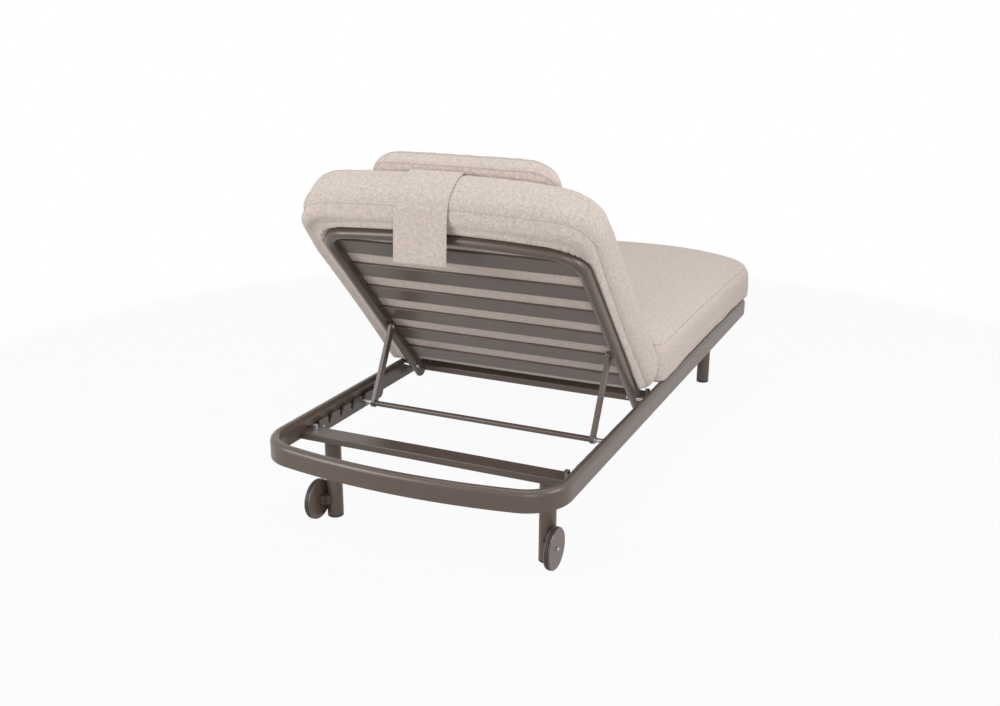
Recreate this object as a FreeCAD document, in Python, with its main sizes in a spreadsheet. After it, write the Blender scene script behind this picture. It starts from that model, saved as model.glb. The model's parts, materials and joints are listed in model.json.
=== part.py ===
import FreeCAD, Part
import math
import os
import Sketcher

# Spa relaxation lounger: an aluminium ring bed on four legs, a slatted back that
# hinges on the ring and is propped in a toothed rack, thick upholstered cushions,
# a head pillow with a weighted strap, and two transport wheels at the head end.
# X runs across the lounger, +Y to the head end, Z up. The origin is on the floor,
# at the middle of the ring's plan. All lengths are millimetres, angles degrees.

doc = FreeCAD.newDocument("relaxation_lounger")
sheet = doc.addObject("Spreadsheet::Sheet", "Sizes")

DRIVING_SIZES = [
    # Base ring, one bent tube with a rounded top
    ("ring_half_width", 394.0),
    ("ring_half_length", 1000.0),
    ("ring_end_bow", 50.0),
    ("ring_corner_radius", 113.0),
    ("ring_tube_width", 26.0),
    ("ring_tube_height", 51.0),
    ("ring_bottom", 216.0),
    ("tube_round_share", 0.49),
    # Legs and glides
    ("leg_diameter", 42.0),
    ("leg_wall", 2.5),
    ("leg_side_inset", 96.0),
    ("rear_leg_inset", 237.0),
    ("front_leg_inset", 298.0),
    ("glide_height", 7.0),
    ("glide_plug_height", 24.0),
    ("glide_plug_clearance", 0.2),
    ("glide_edge_radius", 2.5),
    # Cross rails between the ring's sides
    ("cross_rail_depth", 54.0),
    ("cross_rail_height", 19.0),
    ("cross_rail_edge_radius", 3.0),
    ("head_rail_offset", 14.5),
    ("hinge_rail_offset", 103.4),
    ("rail_bolt_inset", 22.0),
    ("rail_bolt_offset", 11.0),
    ("rail_bolt_head_width", 13.0),
    ("rail_bolt_head_height", 8.5),
    ("rail_bolt_washer_diameter", 16.0),
    ("rail_bolt_washer_height", 1.6),
    # Slats
    ("slat_width", 56.0),
    ("slat_thickness", 8.0),
    ("seat_slat_count", 10.0),
    ("seat_slat_foot_gap", 95.0),
    ("back_slat_count", 6.0),
    ("back_slat_end_gap", 131.0),
    ("slat_edge_radius", 2.0),
    ("seat_slat_rise", 38.0),
    ("seat_slat_offset", 209.0),
    ("back_slat_first_low", 35.0),
    # Back hinge
    ("hinge_place", 254.4),
    ("hinge_rise", 39.5),
    ("back_angle", 46.3),
    ("hinge_pin_diameter", 8.0),
    ("hinge_spacer_diameter", 12.5),
    ("hinge_head_diameter", 13.0),
    ("hinge_head_height", 4.0),
    ("hinge_weld_depth", 5.0),
    ("running_clearance", 0.05),
    ("side_clearance", 0.3),
    # Back frame, one bent tube with a rounded rear side
    ("back_side_gap", 17.0),
    ("back_end_gap", 51.6),
    ("back_end_bow", 28.0),
    ("back_corner_radius", 78.0),
    ("back_tube_width", 26.0),
    ("back_tube_depth", 30.0),
    ("back_tube_rear", 8.0),
    ("back_tube_wall", 2.5),
    ("back_low_end", 48.0),
    ("end_cap_thickness", 4.0),
    ("end_cap_plug", 14.0),
    # Prop: two flat bars, the rod between them and its pins
    ("prop_pivot_place", 227.0),
    ("prop_bar_width", 22.0),
    ("prop_bar_thickness", 10.0),
    ("prop_side_gap", 1.0),
    ("prop_pivot_diameter", 8.0),
    ("prop_pivot_head_diameter", 13.0),
    ("prop_pivot_head_height", 3.5),
    ("prop_rod_diameter", 15.0),
    ("prop_pin_diameter", 12.0),
    ("prop_pin_collar_diameter", 18.0),
    ("prop_pin_collar_width", 4.0),
    ("rack_passing_clearance", 0.5),
    # Toothed racks on the ring's inner sides
    ("rack_thickness", 5.0),
    ("rack_standoff", 8.0),
    ("rack_seat_reach", 263.6),
    ("rack_seat_rise", 10.5),
    ("rack_rail_gap", 15.5),
    ("rack_seat_count", 4.0),
    ("rack_drop", 10.0),
    ("rack_rise", 27.0),
    ("rack_hinge_margin", 112.0),
    ("rack_head_margin", 46.0),
    ("rack_slot_clearance", 0.6),
    ("rack_slot_lean", 32.0),
    ("rack_tooth_radius", 7.0),
    ("rack_screw_diameter", 9.0),
    ("rack_screw_height", 2.6),
    ("rack_screw_hinge_margin", 34.0),
    ("rack_screw_head_margin", 17.0),
    ("rack_screw_rise", 7.0),
    # Wheels
    ("wheel_diameter", 104.0),
    ("wheel_width", 16.0),
    ("wheel_disc_width", 5.5),
    ("wheel_rim_bevel", 1.8),
    ("tyre_lip", 0.8),
    ("wheel_reach", 34.0),
    ("wheel_ground_clearance", 2.0),
    ("wheel_gap_to_leg", 2.0),
    ("axle_diameter", 8.0),
    ("axle_head_diameter", 12.0),
    ("axle_head_height", 4.0),
    ("axle_boss_diameter", 24.0),
    ("bracket_half_height", 11.0),
    # Cushions
    ("cushion_side_inset", 16.0),
    ("cushion_foot_inset", 8.0),
    ("cushion_hinge_gap", 118.4),
    ("seat_seam_gap", 0.6),
    ("seat_border_height", 104.4),
    ("seat_crown_rise", 60.0),
    ("cushion_corner_radius", 66.0),
    ("cushion_end_bow", 24.0),
    ("cushion_straight_bow", 4.0),
    ("seat_side_bulge", 7.5),
    ("back_side_bulge", 13.0),
    ("cushion_draw_in", 4.0),
    ("back_cushion_low_end", -8.0),
    ("back_cushion_overhang", 66.0),
    ("back_cushion_low_lean", 4.0),
    ("back_cushion_low_corner", 30.0),
    ("back_cushion_high_corner", 84.0),
    ("back_seam_rear", 37.0),
    ("back_border_height", 101.0),
    ("back_crown_rise", 12.0),
    ("soft_clearance", 0.3),
    # Pillow and its weighted strap
    ("pillow_half_width", 248.0),
    ("pillow_length", 263.0),
    ("pillow_top_gap", 15.0),
    ("pillow_belly_rise", 20.7),
    ("pillow_border_height", 38.0),
    ("pillow_crown_rise", 28.0),
    ("pillow_corner_radius", 74.0),
    ("pillow_bulge", 7.0),
    ("strap_half_width", 71.0),
    ("strap_centre", 37.0),
    ("strap_thickness", 3.0),
    ("strap_clearance", 0.3),
    ("strap_tail_length", 137.0),
    ("strap_hem_height", 26.0),
    ("strap_hem_thickness", 6.0),
    ("strap_weight_height", 16.0),
    ("strap_weight_thickness", 2.5),
    ("strap_weight_clearance", 0.3),
    # One overrun for every cut
    ("cut_overrun", 5.0),
]

# Places and levels that follow the sizes above
DERIVED_SIZES = [
    ("ring_inner_half", "=ring_half_width - ring_tube_width"),
    ("ring_top", "=ring_bottom + ring_tube_height"),
    ("leg_half_spread", "=ring_half_width - leg_side_inset"),
    ("rear_leg_place", "=ring_half_length - rear_leg_inset"),
    ("front_leg_place", "=front_leg_inset - ring_half_length"),
    ("hinge_height", "=ring_bottom + hinge_rise"),
    ("head_rail_place", "=rear_leg_place + head_rail_offset"),
    ("hinge_rail_place", "=hinge_place - hinge_rail_offset"),
    ("foot_rail_place", "=front_leg_place"),
    ("seat_slat_top", "=ring_bottom + seat_slat_rise"),
    ("seat_slat_first_place", "=hinge_place - seat_slat_offset"),
    ("seat_slat_run", "=seat_slat_first_place + ring_half_length - seat_slat_foot_gap"),
    ("seat_slat_pitch", "=seat_slat_run / (seat_slat_count - 1)"),
    ("back_half_width", "=ring_inner_half - back_side_gap"),
    ("back_length", "=ring_half_length - hinge_place - back_end_gap"),
    ("back_slat_run", "=back_length - back_slat_first_low - back_slat_end_gap"),
    ("back_slat_pitch", "=back_slat_run / (back_slat_count - 1)"),
    ("back_inner_half", "=back_half_width - back_tube_width"),
    ("back_front", "=back_tube_depth - back_tube_rear"),
    ("prop_bar_half_spread", "=back_inner_half - prop_side_gap - prop_bar_thickness / 2"),
    ("rack_seat_place", "=hinge_place + rack_seat_reach"),
    ("rack_outer_face", "=ring_inner_half - rack_standoff"),
    ("rack_inner_face", "=rack_outer_face - rack_thickness"),
    ("rack_head_end", "=head_rail_place - cross_rail_depth / 2 - rack_rail_gap"),
    ("rack_last_seat", "=rack_head_end - rack_head_margin"),
    ("rack_pitch", "=(rack_last_seat - rack_seat_place) / (rack_seat_count - 1)"),
    ("rack_seat_height", "=ring_bottom + rack_seat_rise"),
    ("rack_bottom", "=ring_bottom - rack_drop"),
    ("rack_top", "=ring_bottom + rack_rise"),
    ("wheel_place", "=rear_leg_place + wheel_reach"),
    ("cushion_half_width", "=ring_half_width - cushion_side_inset"),
    ("seat_cushion_foot_end", "=cushion_foot_inset - ring_half_length"),
    ("seat_cushion_head_end", "=hinge_place - cushion_hinge_gap"),
    ("seat_seam_low", "=ring_top + seat_seam_gap"),
    ("seat_seam_high", "=seat_seam_low + seat_border_height"),
    ("seat_crown_level", "=seat_seam_high + seat_crown_rise"),
    ("back_cushion_high_end", "=back_length + back_cushion_overhang"),
    ("back_seam_front", "=back_seam_rear + back_border_height"),
    ("back_crown_level", "=back_seam_front + back_crown_rise"),
    ("pillow_high_end", "=back_cushion_high_end - pillow_top_gap"),
    ("pillow_low_end", "=pillow_high_end - pillow_length"),
    ("pillow_rest", "=back_crown_level + soft_clearance"),
    ("pillow_seam_rear", "=pillow_rest + pillow_belly_rise"),
    ("pillow_seam_front", "=pillow_seam_rear + pillow_border_height"),
    ("pillow_crown_level", "=pillow_seam_front + pillow_crown_rise"),
]

for row, (alias, value) in enumerate(DRIVING_SIZES + DERIVED_SIZES, start=1):
    sheet.set("A%d" % row, alias)
    sheet.set("B%d" % row, str(value))
    sheet.setAlias("B%d" % row, alias)
doc.recompute()


def size(alias):
    """Read one driving size from the sheet."""
    return float(sheet.get(alias))


# Shares of the sizes that they follow
LOW_CROWN_SHARES = ((0.0, 0.0), (0.16, 0.62), (0.42, 1.0))
HIGH_CROWN_SHARES = ((0.0, 0.0), (0.1, 0.52), (0.26, 0.83), (0.46, 1.0))
BELLY_RIM_SHARE = 0.75
CORNER_FLOOR_SHARE = 0.75

X_AXIS = FreeCAD.Vector(1, 0, 0)
Y_AXIS = FreeCAD.Vector(0, 1, 0)
Z_AXIS = FreeCAD.Vector(0, 0, 1)

ring_inner_half = size("ring_inner_half")
cross_rail_top = size("ring_bottom") + size("cross_rail_height")
back_front = size("back_front")
back_inner_half = size("back_inner_half")
back_placement = FreeCAD.Placement(
    FreeCAD.Vector(0, size("hinge_place"), size("hinge_height")),
    FreeCAD.Rotation(X_AXIS, size("back_angle")))
parts = []


def point(x, y, z=0.0):
    return FreeCAD.Vector(x, y, z)


def keep(part, name):
    """Name a finished sub-part and list it for the checks and the export."""
    part.Label = name
    parts.append(part)
    return part


def solid_part(name, shape, placement=None):
    """A sub-part whose solid Part's own functions have made."""
    part = doc.addObject("Part::Feature", name)
    part.Shape = shape
    if placement is not None:
        part.Placement = placement
    return keep(part, name)


def cylinder_along_x(x_from, x_to, radius, y, z):
    low = min(x_from, x_to)
    return Part.makeCylinder(radius, abs(x_to - x_from), point(low, y, z), X_AXIS)


def dome_along_x(x_from, x_to, radius, y, z):
    """A low button head from its flat base at x_from to its rounded top at x_to."""
    button = cylinder_along_x(x_from, x_to, radius, y, z)
    top_edges = [edge for edge in button.Edges
                 if edge.BoundBox.XLength < abs(x_to - x_from) / 2
                 and abs(edge.BoundBox.XMin - x_to) < size("running_clearance")]
    return button.makeFillet(abs(x_to - x_from) * HEAD_ROUND_SHARE, top_edges)


HEAD_ROUND_SHARE = 0.8


# Outlines with bowed ends
#
# The ring, the back frame and every cushion share one kind of plan: straight or
# slightly drawn in sides, ends bowed outward as a shallow arc, and corner arcs
# tangent to both. An inset moves every edge inward, so a tube's inner outline and
# a cushion's crown come from the same plan.

def end_geometry(half_width, end, bow, corner, inset, outward):
    """Corner centre height, end arc top and the tangent point of one end."""
    bow_radius = (half_width ** 2 + bow ** 2) / (2 * bow)
    centre_y = end - outward * bow_radius
    end_radius = bow_radius - inset
    inner_half = half_width - inset
    corner_radius = max(corner - inset, corner * CORNER_FLOOR_SHARE)
    corner_x = inner_half - corner_radius
    drop = math.sqrt((end_radius - corner_radius) ** 2 - corner_x ** 2)
    corner_y = centre_y + outward * drop
    reach = math.hypot(corner_x, corner_y - centre_y)
    tangent = point(corner_x * end_radius / reach,
                    centre_y + (corner_y - centre_y) * end_radius / reach)
    lean = math.atan2(abs(tangent.y - corner_y), tangent.x - corner_x)
    middle = point(corner_x + corner_radius * math.cos(lean / 2),
                   corner_y + outward * corner_radius * math.sin(lean / 2))
    top = point(0, centre_y + outward * end_radius)
    return corner_y, inner_half, middle, tangent, top


def mirrored(place):
    return point(-place.x, place.y, place.z)


def plan_edges(half_width, low, high, low_corner, high_corner, low_bow, high_bow,
               inset=0.0, draw_in=0.0):
    """Edges of a closed plan, counter-clockwise from the right side."""
    high_y, half, high_middle, high_tangent, high_top = end_geometry(
        half_width, high, high_bow, high_corner, inset, 1)
    low_y, half, low_middle, low_tangent, low_top = end_geometry(
        half_width, low, low_bow, low_corner, inset, -1)
    right_low = point(half, low_y)
    right_high = point(half, high_y)
    if draw_in > 0:
        waist = point(half - draw_in, (low_y + high_y) / 2)
        right = Part.Arc(right_low, waist, right_high).toShape()
        left = Part.Arc(mirrored(right_high), mirrored(waist), mirrored(right_low)).toShape()
    else:
        right = Part.LineSegment(right_low, right_high).toShape()
        left = Part.LineSegment(mirrored(right_high), mirrored(right_low)).toShape()
    return [
        right,
        Part.Arc(right_high, high_middle, high_tangent).toShape(),
        Part.Arc(high_tangent, high_top, mirrored(high_tangent)).toShape(),
        Part.Arc(mirrored(high_tangent), mirrored(high_middle), mirrored(right_high)).toShape(),
        left,
        Part.Arc(mirrored(right_low), mirrored(low_middle), mirrored(low_tangent)).toShape(),
        Part.Arc(mirrored(low_tangent), low_top, low_tangent).toShape(),
        Part.Arc(low_tangent, low_middle, right_low).toShape(),
    ]


def ring_plan(inset):
    return Part.Wire(plan_edges(
        size("ring_half_width"), -size("ring_half_length"), size("ring_half_length"),
        size("ring_corner_radius"), size("ring_corner_radius"),
        size("ring_end_bow"), size("ring_end_bow"), inset))


def edges_at_level(shape, level, skip_y=None):
    """Edges that lie in one horizontal plane, leaving out those of an end face."""
    tolerance = size("running_clearance")
    found = []
    for edge in shape.Edges:
        box = edge.BoundBox
        if abs(box.ZMin - level) > tolerance or abs(box.ZMax - level) > tolerance:
            continue
        if skip_y is not None and box.YMax < skip_y + tolerance:
            continue
        found.append(edge)
    return found


# Base ring
ring_outer_face = Part.Face(ring_plan(0.0))
ring_inner_face = Part.Face(ring_plan(size("ring_tube_width")))
ring_solid = ring_outer_face.cut(ring_inner_face).extrude(Z_AXIS * size("ring_tube_height"))
ring_solid = ring_solid.Solids[0]
ring_solid = ring_solid.makeFillet(
    size("ring_tube_width") * size("tube_round_share"),
    edges_at_level(ring_solid, size("ring_tube_height")))
ring_solid.translate(Z_AXIS * size("ring_bottom"))
solid_part("base_ring", ring_solid)


# PartDesign helpers
def new_body(name):
    body = doc.addObject("PartDesign::Body", name)
    body.Label = name
    return body


def plane_sketch(body, name, role):
    """A sketch on one of its own body's origin planes."""
    sketch = body.newObject("Sketcher::SketchObject", name)
    plane = next(item for item in body.Origin.OriginFeatures if item.Role == role)
    sketch.AttachmentSupport = (plane, [""])
    sketch.MapMode = "FlatFace"
    return sketch


def centred_rectangle(sketch, width_alias, height_alias):
    """A rectangle about the sketch's origin, driven by two sheet cells."""
    half_w = size(width_alias) / 2
    half_h = size(height_alias) / 2
    corners = [point(-half_w, -half_h), point(half_w, -half_h),
               point(half_w, half_h), point(-half_w, half_h)]
    for index in range(4):
        sketch.addGeometry(Part.LineSegment(corners[index], corners[(index + 1) % 4]))
    for index in range(4):
        sketch.addConstraint(Sketcher.Constraint("Coincident", index, 2, (index + 1) % 4, 1))
    for index, kind in enumerate(("Horizontal", "Vertical", "Horizontal", "Vertical")):
        sketch.addConstraint(Sketcher.Constraint(kind, index))
    sketch.addConstraint(Sketcher.Constraint("Symmetric", 0, 1, 1, 2, -1, 1))
    width = sketch.addConstraint(Sketcher.Constraint("DistanceX", 0, 1, 0, 2, 2 * half_w))
    height = sketch.addConstraint(Sketcher.Constraint("DistanceY", 1, 1, 1, 2, 2 * half_h))
    sketch.setExpression("Constraints[%d]" % width, "Sizes." + width_alias)
    sketch.setExpression("Constraints[%d]" % height, "Sizes." + height_alias)


# Cross rails: the head rail over the rear legs, the hinge rail and the foot rail
def cross_rail(name, place_alias):
    body = new_body(name)
    profile = plane_sketch(body, name + "_profile", "YZ_Plane")
    centred_rectangle(profile, "cross_rail_depth", "cross_rail_height")
    pad = body.newObject("PartDesign::Pad", name + "_pad")
    pad.Profile = profile
    pad.Midplane = True
    pad.setExpression("Length", "2 * Sizes.ring_inner_half")
    doc.recompute()
    long_edges = []
    for number, edge in enumerate(pad.Shape.Edges, start=1):
        if edge.BoundBox.XLength > ring_inner_half:
            long_edges.append("Edge%d" % number)
    rounding = body.newObject("PartDesign::Fillet", name + "_rounding")
    rounding.Base = (pad, long_edges)
    rounding.setExpression("Radius", "Sizes.cross_rail_edge_radius")
    body.Tip = rounding
    body.Placement = FreeCAD.Placement(
        point(0, size(place_alias), size("ring_bottom") + size("cross_rail_height") / 2),
        FreeCAD.Rotation())
    keep(body, name)


cross_rail("head_cross_rail", "head_rail_place")
cross_rail("hinge_cross_rail", "hinge_rail_place")
cross_rail("foot_cross_rail", "foot_rail_place")


# Hexagon bolts with washers near the ends of each cross rail
def rail_bolt(x, y):
    washer = Part.makeCylinder(size("rail_bolt_washer_diameter") / 2,
                               size("rail_bolt_washer_height"), point(x, y, cross_rail_top))
    head_base = cross_rail_top + size("rail_bolt_washer_height")
    reach = size("rail_bolt_head_width") / math.sqrt(3)
    corners = []
    for step in range(7):
        turn = math.radians(60 * step)
        corners.append(point(x + reach * math.cos(turn), y + reach * math.sin(turn), head_base))
    head = Part.Face(Part.makePolygon(corners)).extrude(Z_AXIS * size("rail_bolt_head_height"))
    return washer.fuse(head).removeSplitter()


bolts = []
for place_alias in ("head_rail_place", "hinge_rail_place", "foot_rail_place"):
    for side in (1, -1):
        bolts.append(rail_bolt(side * (ring_inner_half - size("rail_bolt_inset")),
                               size(place_alias) - size("rail_bolt_offset")))
solid_part("cross_rail_bolts", Part.makeCompound(bolts))


# Legs: round tubes under the head and foot rails, each with a plugged-in glide
def leg(name, side, place_alias):
    tube = doc.addObject("Part::Cylinder", name + "_tube")
    tube.setExpression("Radius", "Sizes.leg_diameter / 2")
    tube.setExpression("Height", "Sizes.ring_bottom - Sizes.glide_height")
    bore = doc.addObject("Part::Cylinder", name + "_bore")
    bore.setExpression("Radius", "Sizes.leg_diameter / 2 - Sizes.leg_wall")
    bore.setExpression(
        "Height", "Sizes.ring_bottom - Sizes.glide_height - Sizes.leg_wall + Sizes.cut_overrun")
    bore.Placement.Base = Z_AXIS * -size("cut_overrun")
    hollow = doc.addObject("Part::Cut", name)
    hollow.Base = tube
    hollow.Tool = bore
    hollow.Placement.Base = point(side * size("leg_half_spread"), size(place_alias),
                                  size("glide_height"))
    keep(hollow, name)


LEGS = [("leg_rear_left", 1, "rear_leg_place"), ("leg_rear_right", -1, "rear_leg_place"),
        ("leg_front_left", 1, "front_leg_place"), ("leg_front_right", -1, "front_leg_place")]
for name, side, place_alias in LEGS:
    leg(name, side, place_alias)


def glide(x, y):
    """A black foot: a rounded disc under the tube and a ribless plug inside it."""
    disc = Part.makeCylinder(size("leg_diameter") / 2, size("glide_height"), point(x, y))
    disc = disc.makeFillet(size("glide_edge_radius"), edges_at_level(disc, 0.0))
    plug_radius = size("leg_diameter") / 2 - size("leg_wall") - size("glide_plug_clearance")
    plug = Part.makeCylinder(plug_radius, size("glide_plug_height"),
                             point(x, y, size("glide_height")))
    return disc.fuse(plug).removeSplitter()


solid_part("leg_glides", Part.makeCompound(
    [glide(side * size("leg_half_spread"), size(alias)) for name, side, alias in LEGS]))


# Slats: flat bars with softened long edges
def slat_solid(half_length, y_low, z_low):
    bar = Part.makeBox(2 * half_length, size("slat_width"), size("slat_thickness"),
                       point(-half_length, y_low, z_low))
    long_edges = [edge for edge in bar.Edges if edge.BoundBox.XLength > half_length]
    return bar.makeFillet(size("slat_edge_radius"), long_edges)


ring_inside = ring_inner_face.extrude(Z_AXIS * size("ring_tube_height"))
ring_inside.translate(Z_AXIS * size("ring_bottom"))
for index in range(int(size("seat_slat_count"))):
    centre_y = size("seat_slat_first_place") - index * size("seat_slat_pitch")
    bar = slat_solid(ring_inner_half, centre_y - size("slat_width") / 2,
                     size("seat_slat_top") - size("slat_thickness"))
    solid_part("seat_slat_%d" % (index + 1), bar.common(ring_inside).Solids[0])


# Back frame, drawn flat in its own plane with the hinge axis as its origin
def back_wire(inset_outer, inset_inner, low):
    """The tube's plan: up the right side, round the head end and down the left."""
    frame_sizes = (size("back_half_width"), size("back_length"), size("back_end_bow"),
                   size("back_corner_radius"))
    edges = []
    for inset, reverse in ((inset_outer, False), (inset_inner, True)):
        corner_y, half, middle, tangent, top = end_geometry(*frame_sizes, inset, 1)
        right_low = point(half, low)
        right_high = point(half, corner_y)
        run = [
            Part.LineSegment(right_low, right_high).toShape(),
            Part.Arc(right_high, middle, tangent).toShape(),
            Part.Arc(tangent, top, mirrored(tangent)).toShape(),
            Part.Arc(mirrored(tangent), mirrored(middle), mirrored(right_high)).toShape(),
            Part.LineSegment(mirrored(right_high), mirrored(right_low)).toShape(),
        ]
        edges.append(run)
    outer_half = size("back_half_width") - inset_outer
    inner_half = size("back_half_width") - inset_inner
    for side in (1, -1):
        edges.append([Part.LineSegment(point(side * outer_half, low),
                                       point(side * inner_half, low)).toShape()])
    return Part.Wire(Part.__sortEdges__([edge for run in edges for edge in run]))


def back_tube(inset, low, rear, front):
    """A bent tube solid, half round on its rear side."""
    face = Part.Face(back_wire(inset, size("back_tube_width") - inset, low))
    tube = face.extrude(Z_AXIS * (front - rear))
    tube.translate(Z_AXIS * rear)
    radius = (size("back_tube_width") - 2 * inset) * size("tube_round_share")
    return tube.makeFillet(radius, edges_at_level(tube, rear, low))


wall = size("back_tube_wall")
frame_body = back_tube(0.0, -size("back_low_end"), -size("back_tube_rear"), back_front)
frame_void = back_tube(wall, -size("back_low_end") - size("cut_overrun"),
                       wall - size("back_tube_rear"), back_front - wall)
frame_solid = frame_body.cut(frame_void)
pin_hole = size("hinge_pin_diameter") / 2 + size("running_clearance")
pivot_hole = size("prop_pivot_diameter") / 2 + size("running_clearance")
for side in (1, -1):
    frame_solid = frame_solid.cut(cylinder_along_x(
        side * (back_inner_half - size("cut_overrun")),
        side * (size("back_half_width") + size("cut_overrun")), pin_hole, 0, 0))
    frame_solid = frame_solid.cut(cylinder_along_x(
        side * (back_inner_half - size("cut_overrun")),
        side * (back_inner_half + size("back_tube_width") / 2),
        pivot_hole, size("prop_pivot_place"), 0))
solid_part("back_frame", frame_solid.Solids[0], back_placement)


# Black caps in the frame tube's lower ends
def end_cap(side):
    low = -size("back_low_end")
    plate = Part.Face(back_wire(0.0, size("back_tube_width"), low - size("end_cap_thickness")))
    plate = plate.extrude(Z_AXIS * size("back_tube_depth"))
    plate.translate(Z_AXIS * -size("back_tube_rear"))
    plate = plate.makeFillet(size("back_tube_width") * size("tube_round_share"),
                             edges_at_level(plate, -size("back_tube_rear"),
                                            low - size("end_cap_thickness")))
    slab = Part.makeBox(2 * size("back_tube_width"), size("end_cap_thickness"),
                        2 * size("back_tube_depth"),
                        point(side * size("back_half_width") - size("back_tube_width"),
                              low - size("end_cap_thickness"), -size("back_tube_depth")))
    plate = plate.common(slab)
    plug_inset = wall + size("glide_plug_clearance")
    plug = back_tube(plug_inset, low, plug_inset - size("back_tube_rear"),
                     back_front - plug_inset)
    plug_slab = Part.makeBox(2 * size("back_tube_width"), size("end_cap_plug"),
                             2 * size("back_tube_depth"),
                             point(side * size("back_half_width") - size("back_tube_width"),
                                   low, -size("back_tube_depth")))
    return plate.fuse(plug.common(plug_slab)).removeSplitter()


solid_part("frame_end_caps", Part.makeCompound([end_cap(1), end_cap(-1)]), back_placement)

for index in range(int(size("back_slat_count"))):
    low = size("back_slat_first_low") + index * size("back_slat_pitch")
    bar = slat_solid(back_inner_half, low, back_front - size("slat_thickness"))
    solid_part("back_slat_%d" % (index + 1), bar.cut(frame_body).Solids[0], back_placement)


# Hinge pins: a spacer against the ring's wall, a shank through the frame, a low head
def hinge_pin(side):
    radius = size("hinge_pin_diameter") / 2
    head_base = back_inner_half - size("side_clearance")
    weld_end = ring_inner_half + size("hinge_weld_depth")
    spacer = cylinder_along_x(side * (size("back_half_width") + size("side_clearance")),
                              side * weld_end, size("hinge_spacer_diameter") / 2, 0, 0)
    shank = cylinder_along_x(side * head_base, side * weld_end, radius, 0, 0)
    head = dome_along_x(side * head_base, side * (head_base - size("hinge_head_height")),
                        size("hinge_head_diameter") / 2, 0, 0)
    pin = spacer.fuse([shank, head]).removeSplitter()
    pin.translate(point(0, size("hinge_place"), size("hinge_height")))
    return pin.cut(ring_solid)


solid_part("hinge_pins", Part.makeCompound([hinge_pin(1), hinge_pin(-1)]))

# Prop geometry at rest: from the pivot on the back frame down to the rack's seat
pivot_centre = back_placement.multVec(point(0, size("prop_pivot_place"), 0))
rod_centre = point(0, size("rack_seat_place"), size("rack_seat_height"))
prop_run = rod_centre - pivot_centre
prop_length = prop_run.Length
prop_lean = math.degrees(math.atan2(prop_run.z, prop_run.y))
bar_inner = size("prop_bar_half_spread") - size("prop_bar_thickness") / 2
bar_outer = size("prop_bar_half_spread") + size("prop_bar_thickness") / 2


# Prop pivot bolts, fixed in the frame's inner sides
def prop_pivot(side):
    radius = size("prop_pivot_diameter") / 2
    head_base = bar_inner - size("side_clearance")
    shank = cylinder_along_x(side * head_base,
                             side * (back_inner_half + size("back_tube_width") / 2 - wall),
                             radius, size("prop_pivot_place"), 0)
    head = dome_along_x(side * head_base, side * (head_base - size("prop_pivot_head_height")),
                        size("prop_pivot_head_diameter") / 2, size("prop_pivot_place"), 0)
    return shank.fuse(head).removeSplitter()


solid_part("prop_pivot_bolts", Part.makeCompound([prop_pivot(1), prop_pivot(-1)]),
           back_placement)


# Prop bars: flat bars with round ends, a pivot hole and a rod hole
def prop_bar(name, side):
    body = new_body(name)
    half = size("prop_bar_width") / 2
    outline = plane_sketch(body, name + "_outline", "YZ_Plane")
    start = point(0, 0)
    end = point(prop_length, 0)
    outline.addGeometry(Part.LineSegment(point(0, half), point(prop_length, half)))
    outline.addGeometry(Part.LineSegment(point(prop_length, -half), point(0, -half)))
    outline.addGeometry(Part.Arc(point(prop_length, half), point(prop_length + half, 0),
                                 point(prop_length, -half)))
    outline.addGeometry(Part.Arc(point(0, -half), point(-half, 0), point(0, half)))
    outline.addGeometry(Part.Circle(start, Z_AXIS,
                                    size("prop_pivot_diameter") / 2 + size("running_clearance")))
    outline.addGeometry(Part.Circle(end, Z_AXIS,
                                    size("prop_pin_diameter") / 2 + size("running_clearance")))
    pad = body.newObject("PartDesign::Pad", name + "_pad")
    pad.Profile = outline
    pad.Midplane = True
    pad.setExpression("Length", "Sizes.prop_bar_thickness")
    body.Tip = pad
    body.Placement = FreeCAD.Placement(
        point(side * size("prop_bar_half_spread"), pivot_centre.y, pivot_centre.z),
        FreeCAD.Rotation(X_AXIS, prop_lean))
    keep(body, name)


prop_bar("prop_bar_left", 1)
prop_bar("prop_bar_right", -1)

rod = doc.addObject("Part::Cylinder", "prop_rod")
rod.setExpression("Radius", "Sizes.prop_rod_diameter / 2")
rod.setExpression("Height", "2 * Sizes.prop_bar_half_spread - Sizes.prop_bar_thickness")
rod.Placement = FreeCAD.Placement(point(-bar_inner, rod_centre.y, rod_centre.z),
                                  FreeCAD.Rotation(Y_AXIS, 90))
keep(rod, "prop_rod")


def rod_pin(side):
    """A bright pin through the bar, its collar outside and its nose at the rack."""
    shank = cylinder_along_x(side * bar_inner,
                             side * (size("rack_inner_face")
                                     - size("rack_passing_clearance")),
                             size("prop_pin_diameter") / 2, rod_centre.y, rod_centre.z)
    collar = cylinder_along_x(side * bar_outer,
                              side * (bar_outer + size("prop_pin_collar_width")),
                              size("prop_pin_collar_diameter") / 2, rod_centre.y, rod_centre.z)
    return shank.fuse(collar).removeSplitter()


solid_part("prop_rod_pins", Part.makeCompound([rod_pin(1), rod_pin(-1)]))


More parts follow.
